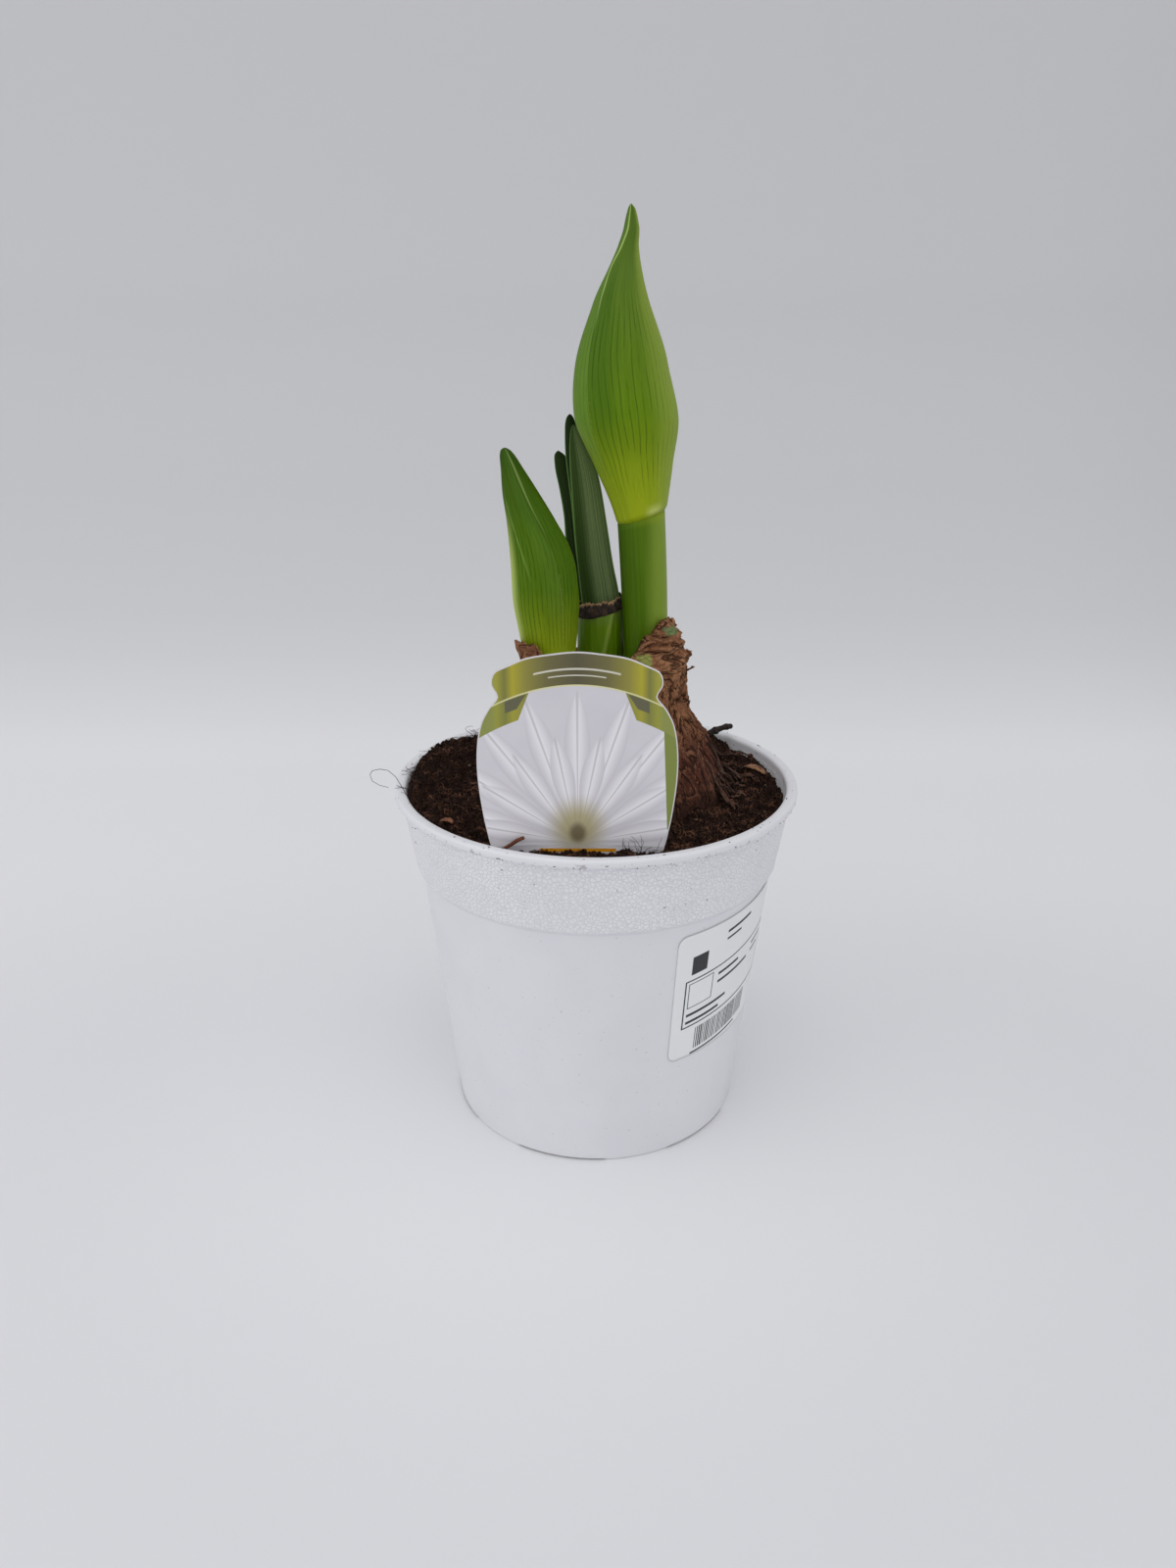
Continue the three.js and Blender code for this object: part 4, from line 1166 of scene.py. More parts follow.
def make_soil(sizes):
    bottom_rows = 3
    wall_rows = 6
    top_rows = 128
    rows = bottom_rows + wall_rows + top_rows
    edge = 60.9
    side_heights = [30, 60, 86, 90, 105]
    collar_foot = 87

    def wall_radius(height):
        """The soil's side just clears the pot's wall, with a step at the collar's foot."""
        if height < collar_foot:
            return mix(47.0, 56.1, height / collar_foot)
        return mix(57.6, edge, (height - collar_foot) / 24)

    def place(u, v):
        step = round(v * rows)
        turn = u * FULL_TURN
        if step <= bottom_rows:
            radius = wall_radius(SOIL_BOTTOM) * step / bottom_rows
            height = SOIL_BOTTOM
        elif step < bottom_rows + wall_rows:
            height = side_heights[step - bottom_rows - 1]
            radius = wall_radius(height)
        else:
            share = (rows - step) / top_rows
            radius = edge * share ** 0.85
            height = None
        x, y = circle(turn, radius)
        if height is None:
            height = rough_soil(sizes, x, y)
        return x, y, height, 0.0

    piece = close_up(sheet("soil_surface", 440, rows, place, ("tone",)))
    dress(piece, soil_finish(sizes), "soil", "potting_soil")


def on_soil(rng, reach=60.3):
    """A random place on the open soil, clear of the bulb."""
    while True:
        x = rng.uniform(-reach, reach)
        y = rng.uniform(-reach, reach)
        if math.hypot(x, y) < reach and math.hypot(x - BULB_X, y - BULB_Y) > 36.5:
            return x, y


def make_crumbs(sizes):
    rng = random.Random(3)
    deselect()
    bpy.ops.mesh.primitive_ico_sphere_add(subdivisions=1, radius=1)
    pattern = bpy.context.object
    for vertex in pattern.data.vertices:
        vertex.co *= 1 + 0.45 * grain(vertex.co.x * 1.7, vertex.co.y * 1.7, vertex.co.z * 1.7 + 4)
    spots = []
    for _ in range(sizes.crumb_count):
        x, y = on_soil(rng)
        size = 0.18 + 0.5 * rng.random() ** 2.2
        if rng.random() < 0.06:
            size *= 2
        place = (x, y, rough_soil(sizes, x, y) + size * 0.35)
        turns = (rng.uniform(0, 3), rng.uniform(0, 3), rng.uniform(0, 6))
        girth = (size, size * rng.uniform(0.5, 1), size * rng.uniform(0.35, 0.9))
        spots.append((place, girth, turns, rng.random()))
    piece = copies("soil_crumbs", pattern, spots)
    dress(piece, soil_finish(sizes, "crumb_soil"), "soil")


def make_fibres(sizes):
    rng = random.Random(5)
    light = []
    dark = []
    for _ in range(sizes.fibre_count):
        x, y = on_soil(rng, 59.6)
        span = rng.uniform(1.4, 5.2)
        turn = rng.uniform(0, FULL_TURN)
        heading = Vector((math.cos(turn), math.sin(turn), rng.gauss(0.02, 0.12)))
        thick = rng.uniform(0.06, 0.15)
        path = [(x, y, rough_soil(sizes, x, y) + rng.uniform(0.0, 0.4), thick)]
        steps = 4
        for _ in range(steps):
            heading = heading + Vector((rng.gauss(0, 0.5), rng.gauss(0, 0.5), 0))
            heading.normalize()
            px = path[-1][0] + heading.x * span / steps
            py = path[-1][1] + heading.y * span / steps
            if math.hypot(px, py) > 60.6:
                break
            path.append((px, py, rough_soil(sizes, px, py) + rng.uniform(0.05, 0.45), thick * 0.85))
        if len(path) > 2:
            (light if rng.random() < 0.62 else dark).append(path)
    piece = strands("peat_fibres", light)
    dress(piece, fibre_finish("peat_fibre", shade(140, 98, 76), shade(44, 27, 21)), "dry_brown")
    piece = strands("dark_fibres", dark)
    dress(piece, fibre_finish("dark_fibre", shade(46, 34, 30), shade(22, 17, 16)), "dry_brown")


def make_root_hairs(sizes):
    """Thin hairs along the rim's left and back, a tuft at the front, and the dry root bit."""
    rng = random.Random(8)
    hairs = list(CURLED_HAIRS)
    for _ in range(RIM_HAIR_COUNT):
        turn = mix(112, 205, rng.random()) * DEGREE
        reach = rng.uniform(55, 60)
        x, y = circle(turn, reach)
        start = (x, y, rough_soil(sizes, x, y) + 0.3)
        side = rng.choice((-1, 1)) * rng.uniform(0.3, 1)
        heading_x = -math.sin(turn) * side + math.cos(turn) * 0.3
        heading = (heading_x, math.cos(turn) * side, rng.uniform(0.5, 1.1))
        path = wander(rng, start, heading, rng.uniform(5, 12), 8, 0.42, rng.uniform(0.07, 0.12))
        sag = [(px, py, pz - 0.35 * k ** 2 / 4, r) for k, (px, py, pz, r) in enumerate(path)]
        hairs.append(sag)
    for _ in range(TUFT_HAIR_COUNT):
        start = (mix(9, 17, rng.random()), -52.5 - rng.random(), soil_height(sizes, 13, -52) + 0.5)
        heading = (rng.gauss(0, 0.8), -0.2, 1)
        hairs.append(wander(rng, start, heading, rng.uniform(4, 8.5), 8, 0.42, rng.uniform(0.06, 0.1)))
    kept = []
    for path in hairs:
        inside = []
        for x, y, z, radius in path:
            far = math.hypot(x, y)
            if far > 68.3 and path is not hairs[0]:
                break
            inside.append((x, y, max(z, 115.2) if 61 < far < 65.3 else z, radius))
        if len(inside) > 2:
            kept.append(inside)
    piece = strands("root_hairs", kept, 1)
    dress(piece, fibre_finish("root_hair", shade(58, 48, 44), shade(32, 26, 24)), "dry_brown")
    piece = strands("dry_root_bit", [DRY_ROOT_BIT], 3)
    dress(piece, fibre_finish("dry_root", shade(124, 78, 58), shade(70, 42, 32)), "dry_brown")


def bark_finish(name, tone, dark, scale):
    finish = Finish(name, roughness=0.85)
    place = finish.place()
    long = finish.noise(finish.stretch(place, 1.0, 0.35, 1.0), scale, 4.0, 0.6)
    pits = finish.noise(place, scale * 3, 3.0, 0.6)
    body = finish.blend(long.rise(0.35, 0.65), dark, tone)
    finish.set(
        base_color=finish.blend(pits.rise(0.6, 0.72) * 0.6, body, dark),
        roughness=0.78 + pits * 0.2,
        normal=finish.relief(long + pits * 0.5, 0.25),
    )
    return finish


def make_twig(sizes):
    ends = [Vector(point) for point in TWIG_POINTS]

    def centre(share):
        a, b, c = ends
        return a * (1 - share) ** 2 + (b * 2 - (a + c) / 2) * 2 * share * (1 - share) + c * share ** 2

    def ring(share, turn):
        along = (centre(min(share + 0.01, 1)) - centre(max(share - 0.01, 0))).normalized()
        side = along.cross(Vector((0, 0, 1))).normalized()
        up = side.cross(along)
        rough = 0.16 * grain(*circle(turn, 3), share * 9)
        rough -= 0.12 * plate(*circle(turn, 5), share * 3)
        knot = 0.3 * math.exp(-((share - 0.34) / 0.07) ** 2) + 0.18 * math.exp(-((share - 0.78) / 0.05) ** 2)
        end = math.sqrt(max(1 - (2 * share - 1) ** 14, 0.02))
        radius = TWIG_RADIUS * (1 - 0.2 * share + knot + rough) * end
        point = centre(share) + (side * math.cos(turn) + up * math.sin(turn)) * radius
        return tuple(point)

    piece = round_body("twig_piece", 28, 60, ring)
    dress(piece, bark_finish("twig_bark", sizes.twig, shade(28, 20, 17), 900.0), "bark", "twig")


def make_flake(sizes, name, node, flake, tone):
    """A thin flake of bark that lies on the soil, arched along its length."""
    x, y, length, width, turn, arch = flake
    base = soil_height(sizes, x, y) + 0.9
    cos = math.cos(turn * DEGREE)
    sin = math.sin(turn * DEGREE)

    def place(u, v):
        along = 2 * u - 1
        across = 2 * v - 1
        share = max(1 - along ** 2, 0)
        half = width / 2 * mix(0.3, 1, share ** 0.6) * (1 + 0.22 * grain(along * 4, across, 3))
        a = along * length / 2 * (1 + 0.08 * grain(across * 3, 1, length))
        b = across * half + 0.35 * math.sin(along * 3)
        lift = arch * share + 0.45 * across ** 2 * share + 0.25 * grain(along * 3, across * 2, 8)
        return x + a * cos - b * sin, y + a * sin + b * cos, base + lift

    piece = peel(name, 30, 12, place, 0.45)
    dress(piece, bark_finish(name + "_bark", tone, shade(96, 62, 44), 700.0), "bark_light", node)


# Bulb

half_width = column(BULB_ROWS, 1)
half_depth = column(BULB_ROWS, 2)
neck_edge = through(NECK_EDGE)


def neck_top(turn):
    """Height of the papery neck's torn edge."""
    degrees = degrees_of(turn)
    tear = bumps(turn * 5, 3, 4) + 0.5 * bumps(turn * 11, 5, 5)
    fray = 0.5 * grain(*circle(turn, 11), 5) + 0.5 * grain(*circle(turn, 31), 3)
    return neck_edge(degrees) + (1.1 * tear * smooth(abs(abs(degrees) - 180) / 12)) + fray


def cracks(height, turn):
    """Depth of the long upright cracks in the bulb's smooth skin."""
    place = turn / FULL_TURN * CRACK_COUNT
    slot = math.floor(place)
    middle = slot + mix(0.3, 0.7, draw(slot, 1, 77)) + 0.1 * math.sin(height / 7 + slot)
    off = (place - middle) * FULL_TURN * half_width(height) / CRACK_COUNT
    foot = mix(106, 124, draw(slot, 2, 77))
    head = foot + mix(6, 22, draw(slot, 3, 77))
    return window(height, foot, head, 3) * mix(0.35, 1, draw(slot, 4, 77)) * math.exp(-((off / 0.42) ** 2))


def tunic_relief(sizes, height, turn):
    """How far the skin stands out at a place, and how high on a fold that place is."""
    wide = half_width(height)
    x, y = circle(turn, wide)
    broad = math.sin(9 * turn + 1.3 * math.sin(height / 17)) + 0.7 * math.sin(17 * turn + height / 23)
    relief = sizes.fold / MM * broad * smooth((height - 44) / 20)
    level = height + 2.5 * grain(x / 12, y / 12, 4)
    past_body = smooth((level - STRIPS_FROM) / 6)
    past_strips = smooth((level - FOLDS_FROM) / 5)
    top = smooth((level - WRINKLES_FROM) / 4)
    body = 1 - past_body
    strips = past_body * (1 - past_strips)
    folded = past_strips * (1 - top)
    high = 0.0
    if body > 0:
        thread = grain(x / 1.2, y / 1.2, height / 18)
        patch = grain(x / 6, y / 6, height / 30)
        crack = cracks(height, turn)
        crust = plate(x / 3, y / 3, height / 5) * (1 - smooth((height - 112) / 8))
        relief += body * (0.2 * thread + 0.5 * patch - 1.0 * crack + 0.5 * crust)
        high += body * (0.62 + 0.25 * thread + 0.25 * patch - 0.85 * crack)
    if strips > 0:
        swing = turn + (height - 118) * 0.018 + 0.1 * grain(x / 9, y / 9, height / 9)
        wx, wy = circle(swing, wide)
        lay = 0.5 * plate(wx / 6.5, wy / 6.5, height / 20 + 2)
        lay += 0.32 * plate(wx / 2.6, wy / 2.6, height / 10 + 5)
        lay += 0.18 * plate(wx / 1.1, wy / 1.1, height / 4)
        relief += strips * (3.2 * lay - 2.2)
        high += strips * lay
    if folded > 0:
        tilt = height - 0.4 * x + 1.2 * grain(x / 7, y / 7, height / 7)
        lay = 0.5 * plate(x / 15, y / 15, tilt / 6.5) + 0.3 * plate(x / 6, y / 6, tilt / 3)
        lay += 0.2 * plate(x / 3, y / 3, tilt / 1.3)
        bulge = math.exp(-(((degrees_of(turn) + 36) / 17) ** 2) - ((height - 152) / 4) ** 2)
        relief += folded * (3.2 * lay - 2.2 + 1.3 * bulge)
        high += folded * (lay + 0.25 * bulge)
    if top > 0:
        wave = height + 0.9 * grain(x / 5, y / 5, height / 9)
        lay = 0.6 * plate(x / 15, y / 15, wave / 2.9) + 0.4 * plate(x / 8, y / 8, wave / 1.3)
        relief += top * (sizes.wrinkle / MM * (1.9 * lay - 1.3))
        high += top * lay
    return relief, min(max(high, 0), 1)


def tunic_point(sizes, height, turn, inward=1.0, lift=0.0):
    """A place on the tunic, and how high on a fold it is: inward shrinks the ring, lift stands off it."""
    centre_y = mix(BULB_Y, NECK_Y, smooth((height - 112) / 28))
    relief, high = tunic_relief(sizes, height, turn)
    x = (half_width(height) + relief + lift) * inward * math.cos(turn)
    y = (half_depth(height) + relief + lift) * inward * math.sin(turn)
    return BULB_X + x, centre_y + y, height, high


def fresh_patch(degrees, height):
    """Green flesh shows in two places where the dry skin is torn away."""
    low = smooth(3 - abs(degrees + 61) / 2.4) * window(height, 151.5, 157.8, 0.6)
    level = height + 0.03 * (degrees + 20)
    high = smooth((18 - abs(degrees + 18)) / 4) * window(level, 161.3, 164.2, 0.5)
    return low, high


def tunic_finish(sizes, name="tunic"):
    finish = Finish(name, roughness=0.75, specular_ior_level=0.08)
    place = finish.place()
    high = finish.mark("high")
    _, _, z = finish.axes(place)
    fibres = finish.noise(finish.stretch(place, 1.0, 1.0, 0.16), 900.0, 4.0, 0.6)
    threads = finish.noise(finish.stretch(place, 1.0, 1.0, 0.06), 2100.0, 2.0)
    crumple = finish.noise(place, 420.0, 4.0, 0.65, 0.8)
    blotch = finish.noise(place, 75.0, 3.0, 0.6)
    upper = z.rise(0.124, 0.146)
    body = finish.blend(fibres.rise(0.34, 0.68), shade(70, 42, 33), sizes.tunic)
    body = finish.blend(threads.rise(0.55, 0.72) * 0.5, body, shade(118, 78, 58))
    body = finish.blend(blotch.rise(0.45, 0.66) * 0.6, body, shade(76, 40, 30))
    pale = finish.blend(0.6, sizes.neck, sizes.tunic_pale_and_highlight)
    papery = finish.blend(crumple.rise(0.36, 0.64), sizes.neck, pale)
    papery = finish.blend(blotch.rise(0.45, 0.62) * 0.5, papery, shade(98, 62, 42))
    fleck = finish.noise(finish.stretch(place, 1.0, 1.0, 0.5), 1700.0, 3.0, 0.7)
    body = finish.blend(fleck.rise(0.56, 0.66) * 0.45, body, shade(150, 100, 74))
    body = finish.blend(fleck.fall(0.36, 0.45) * 0.6, body, shade(40, 24, 19))
    skin = finish.blend(upper, body, papery)
    # Painted highlight on the tops of the folds, painted shade in their hollows.
    skin = finish.blend(high.rise(0.75, 1.0) * (0.2 + upper * 0.4), skin, sizes.tunic_pale_and_highlight)
    skin = finish.blend(high.fall(0.2, 0.66) * 0.95, skin, sizes.tunic_fold_shade)
    flat = finish.noise(finish.stretch(place, 0.45, 0.45, 1.6), 115.0, 3.0, 0.5, 1.2)
    steep = finish.noise(finish.stretch(place, 1.0, 1.0, 0.35), 140.0, 3.0, 0.5, 1.6)
    small = finish.noise(finish.stretch(place, 0.8, 0.8, 1.0), 300.0, 2.0, 0.5, 1.6)
    folds = z.rise(0.145, 0.152)
    field = flat * folds + steep * (1 - folds)
    # Thin creases drawn as contour lines of the noise: painted shade in each crease, painted highlight on the
    # crest beside it.
    crease = field.near(0.5, 0.004, 0.03).most(small.near(0.5, 0.0, 0.03) * upper * 0.5)
    crest = field.near(0.56, 0.0, 0.045) * (upper * 0.45 + 0.25)
    skin = finish.blend(crest, skin, sizes.tunic_pale_and_highlight)
    skin = finish.blend(crease * 0.8, skin, sizes.tunic_fold_shade)
    earth = z.fall(0.1115, 0.1195) * (0.35 + crumple)
    clods = crumple.rise(0.5, 0.6) * z.fall(0.112, 0.13) * 0.9
    skin = finish.blend(earth.most(clods).least(1) * 0.85, skin, shade(38, 27, 23))
    skin = finish.blend(finish.mark("flesh"), skin, sizes.flesh)
    skin = finish.blend(finish.mark("fresh"), skin, shade(116, 130, 86))
    rough = fibres * (1 - upper * 0.5) + crumple * upper + threads * 0.4 - crease * 0.8
    finish.set(
        base_color=skin,
        roughness=0.65 + fibres * 0.25,
        normal=finish.relief(rough, 0.5),
    )
    return finish


def make_bulb(sizes):
    body_rows = 12
    neck_rows = 150
    bulb_foot = BULB_ROWS[0][0]
    fine_from = 104
    # Over the torn edge and down the inside: share of the width, drop under the edge
    inner = [(0.985, -0.1), (0.965, -0.6), (0.95, None), (0.9, None), (0.6, None), (0.3, None)]
    rows = body_rows + neck_rows + len(inner)

    def ring(share, turn):
        step = round(share * rows)
        degrees = degrees_of(turn)
        if step <= body_rows:
            height = mix(bulb_foot, fine_from, (step / body_rows) ** 1.4)
            x, y, z, high = tunic_point(sizes, height, turn)
            return x, y, z, high, 0.0, 0.0
        edge = neck_top(turn)
        if step <= body_rows + neck_rows:
            height = mix(fine_from, edge, (step - body_rows) / neck_rows)
            x, y, z, high = tunic_point(sizes, height, turn)
            low, top = fresh_patch(degrees, height)
            return x, y, z, high, low, top
        inward, drop = inner[step - body_rows - neck_rows - 1]
        x, y, z, high = tunic_point(sizes, edge, turn, inward)
        if drop is None:
            z = mix(NECK_FLOOR, edge - 1, smooth((inward - 0.2) / 0.78) ** 2)
        else:
            z = edge + drop
        # Inside the neck the height on a fold is lowered: painted shade in the opening.
        return x, y, z, high * 0.6, 0.0, 0.0

    piece = round_body("bulb_tunic", 400, rows, ring, SKIN_MARKS)
    dress(piece, tunic_finish(sizes), "tunic", "bulb")


def tunic_flap(sizes, name, turn, foot, width, tall, lift, lean, seed):
    """A ragged scrap of dry skin: it lies on the bulb at its foot and lifts off towards its end."""
    def place(u, v):
        across = 2 * u - 1
        ragged = 1 - 0.25 * abs(grain(seed, v * 5, across)) - 0.25 * max(v - 0.6, 0)
        up = v * tall * (1 - 0.3 * abs(grain(across * 3.1, seed, 2)) - 0.12 * across ** 2)
        height = foot + up
        wide = max(half_width(height), 12)
        here = turn + lean * v + across * ragged * width / 2 / wide
        off = 0.1 + lift * v ** 1.6 + 0.4 * lift * across ** 2 * v + 0.25 * grain(across * 2, v * 4, seed)
        x, y, z, _ = tunic_point(sizes, height, here, 1.0, off)
        # The height on a fold rises towards the lifted end: painted light there, and little painted shade.
        return x, y, z, 0.6 + 0.4 * v, 0.0, 0.0
    return peel(name, 12, 12, place, 0.2, SKIN_MARKS)


def bud_collar(name, turn, span, foot, top, out, seed, pale=0.0):
    """A papery scrap that stands round the short bud's foot, from one bearing over a span; pale raises its
    painted light.
    """
    centre = column(SHORT_BUD, 1)
    half = column(SHORT_BUD, 2)

    def place(u, v):
        bearing = (turn + span * (u - 0.5)) * DEGREE
        edge = math.sin(math.pi * min(max(u, 0), 1)) ** 0.35
        tear = 1.2 * grain(u * 4, seed, 1) + 0.8 * grain(u * 11, seed, 4)
        height = mix(foot, top + tear - 3 * (1 - edge), v)
        crumple = 0.5 * plate(u * 3 + seed, v * 2, 1) + 0.25 * grain(u * 9, v * 7, seed)
        radius = half(min(height, 175)) + 0.5 + out * v ** 1.5 + crumple
        x = centre(height) + radius * math.cos(bearing)
        y = SHORT_Y + 0.94 * radius * math.sin(bearing)
        # The height on a fold follows the crumples: painted light on their tops, painted shade in their
        # hollows.
        return x, y, height, 0.45 + crumple + pale, 0.0, 0.0
    return peel(name, 24, 16, place, 0.22, SKIN_MARKS)


def make_tunic_flakes(sizes):
    rng = random.Random(21)
    scraps = [
        bud_collar("scrap_left", 203, 58, 148, 161.2, 1.0, 3.1),
        bud_collar("scrap_front", 229, 46, 148, 162.2, 1.9, 8.2),
        bud_collar("scrap_inner", 247, 26, 148, 161.4, 1.0, 5.7, 0.6),
        tunic_flap(sizes, "fringe_high", 0.12, 151.5, 3.4, 3.0, 1.5, 0.1, 2.2),
        tunic_flap(sizes, "fringe_low", 0.05, 147.5, 3.0, 2.8, 1.6, -0.1, 6.1),
        tunic_flap(sizes, "flesh_edge", -1.2, 151.5, 2.2, 6.4, 1.0, -0.02, 9.3),
    ]
    for i in range(sizes.flake_count):
        turn = rng.uniform(0, FULL_TURN)
        top = neck_edge(degrees_of(turn))
        foot = mix(121, top - 5, rng.random() ** 0.8)
        upper = smooth((foot - 128) / 15)
        width = mix(rng.uniform(2, 4.5), rng.uniform(4, 8), upper)
        tall = min(mix(rng.uniform(6, 14), rng.uniform(3, 6), upper), top - 1 - foot)
        if fresh_patch(degrees_of(turn), foot + tall / 2) != (0, 0) or -75 < degrees_of(turn) < -50:
            continue
        lift = rng.uniform(0.2, 0.7)
        lean = rng.gauss(0, 0.1)
        scraps.append(tunic_flap(sizes, f"flake_{i}", turn, foot, width, tall, lift, lean, i * 1.9))
    piece = join("tunic_flakes", scraps)
    dress(piece, tunic_finish(sizes, "flake_tunic"), "dry_brown")


def strip_finish(sizes):
    finish = Finish("strip_tunic", roughness=0.85, specular_ior_level=0.2)
    place = finish.place()
    long = finish.noise(place, 330.0, 4.0, 0.65)
    fine = finish.noise(place, 1500.0, 3.0, 0.6)
    tone = finish.blend(long.rise(0.38, 0.64), shade(34, 25, 22), shade(92, 70, 58))
    tone = finish.blend(finish.mark("high").rise(0.3, 0.9) * 0.45, tone, sizes.tunic)
    finish.set(base_color=tone, roughness=0.8 + fine * 0.15, normal=finish.relief(fine + long, 0.3))
    return finish


def make_tunic_strips(sizes, soil):
    """Dry strips that hang down the bulb's right shoulder and fan out over the soil."""
    rng = random.Random(31)
    ground = 114.5
    farthest = 59.5
    strips = []
    for i in range(sizes.strip_count):
        turn = mix(-24, 56, (i + rng.random()) / sizes.strip_count) * DEGREE
        reach = rng.uniform(2, 8)
        if rng.random() < 0.35 and turn > 0:
            reach = rng.uniform(8, 17)
        if i % 6 == 5:
            turn = rng.uniform(62, 320) * DEGREE
            reach = rng.uniform(1, 5)
        start = rng.uniform(115, 127)
        width = rng.uniform(0.7, 2.1)
        sway = rng.gauss(-0.05, 0.16)
        loose = rng.uniform(0.4, 1.6)
        seed = i * 2.3

        def place(u, v, turn=turn, start=start, width=width, reach=reach, sway=sway, loose=loose, seed=seed):
            here = turn + sway * v + 0.05 * grain(v * 3, seed, 0)
            cling = 0.5
            if v < cling:
                height = mix(start, ground, v / cling)
                x, y, z, _ = tunic_point(sizes, height, here, 1.0, 0.3 + loose * (v / cling) ** 2)
            else:
                out = (v - cling) / (1 - cling)
                x, y, _, _ = tunic_point(sizes, ground, here, 1.0, 0.3 + loose + out * reach)
                far = math.hypot(x, y)
                if far > farthest:
                    x, y = x * farthest / far, y * farthest / far
                z = rough_soil(soil, x, y) + 0.4 + 1.2 * math.sin(min(out * 2.2, 3))
                z = max(mix(ground, 110, smooth(out * 1.4)), z)
            across = (2 * u - 1) * width / 2 * (1 - 0.5 * v) * (1 + 0.5 * grain(v * 7, seed, 2))
            tilt = 0.7 * math.sin(v * 5 + seed)
            return x - math.sin(here) * across, y + math.cos(here) * across, z + tilt * across, u, 0.0, 0.0

        strips.append(peel(f"strip_{i}", 4, 26, place, 0.25, SKIN_MARKS))
    piece = join("tunic_strips", strips)
    dress(piece, strip_finish(sizes), "dry_brown")


def dress_roots(sizes):
    finish = Finish("root_flesh", roughness=0.6)
    place = finish.place()
    patch = finish.noise(place, 160.0, 3.0)
    fine = finish.noise(place, 1400.0, 3.0)
    finish.set(
        base_color=finish.blend(patch.rise(0.4, 0.65) * 0.7, sizes.root, shade(150, 120, 84)),
        roughness=0.5 + fine * 0.3,
        normal=finish.relief(fine, 0.15),
    )
    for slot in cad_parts["roots"].material_slots:
        slot.material = finish.material


# Stalks and buds

TALL_JOINT_HALF = column(TALL_STALK, 2)(TALL_JOINT)


def tall_joint(across):
    """Height of the slanting joint between the tall stalk and its bud."""
    return TALL_JOINT + TALL_JOINT_SLOPE * TALL_JOINT_HALF * across


def short_joint(_):
    """Height of the level joint between the short stalk and its bud."""
    return SHORT_JOINT


def stalk_finish(sizes, name, centre, half, foot, head, warm):
    """A stalk's green: painted light on its right side, painted shade on its left, and warmer from foot to
    head by its joint.
    """
    finish = Finish(name, roughness=0.4, specular_ior_level=0.13)
    place = finish.place()
    x, _, z = finish.axes(place)
    around, _, _ = finish.axes(finish.chart())
    lines = finish.noise(finish.point(around * 60, z * 30, 0.0), 1.0, 2.0)
    patch = finish.noise(finish.point(around * 9, z * 45, 3.0), 1.0, 3.0)
    fine = finish.noise(place, 1800.0, 2.0)
    across = (x * 1000 - centre) / half
    tone = finish.blend(lines.rise(0.35, 0.68) * 0.35, sizes.stalk, shade(96, 130, 18))
    tone = finish.blend(patch.rise(0.42, 0.68) * 0.35, tone, shade(62, 94, 2))
    # Painted light on the right side, painted shade on the left.
    tone = finish.blend(across.rise(-0.15, 0.7), tone, sizes.stalk_light)
    tone = finish.blend((0 - across).rise(0.3, 1.0) * 0.35, tone, shade(52, 80, 6))
    tone = finish.blend(z.rise(foot, head) * warm, tone, shade(142, 158, 20))
    finish.set(
        base_color=tone,
        roughness=0.38 + fine * 0.12,
        normal=finish.relief(lines * 0.6 + fine * 0.12, 0.16),
    )
    return finish


def stalk(name, rows, centre_y, joint_at):
    centre = column(rows, 1)
    half = column(rows, 2)
    overlap = 0.3

    def ring(share, turn):
        across = math.cos(turn)
        height = mix(STALK_FOOT, joint_at(across) + overlap, share)
        flute = 0.07 * math.cos(10 * turn) + 0.05 * math.cos(17 * turn + 1)
        radius = half(height) + flute
        return centre(height) + radius * across, centre_y + STALK_DEPTH * radius * math.sin(turn), height

    return round_body(name, 96, 24, ring)


def make_stalks(sizes):
    tall = stalk("tall_flower_stalk", TALL_STALK, TALL_Y, tall_joint)
    finish = stalk_finish(sizes, "tall_stalk_green", 14.8, 7.1, 0.1945, 0.1995, 0.45)
    dress(tall, finish, "stalk_green", "tall_stalk")
    short = stalk("short_flower_stalk", SHORT_STALK, SHORT_Y, short_joint)
    finish = stalk_finish(sizes, "short_stalk_green", -14, 7, 0.14, 0.15, 0.8)
    dress(short, finish, "stalk_green", "short_stalk")


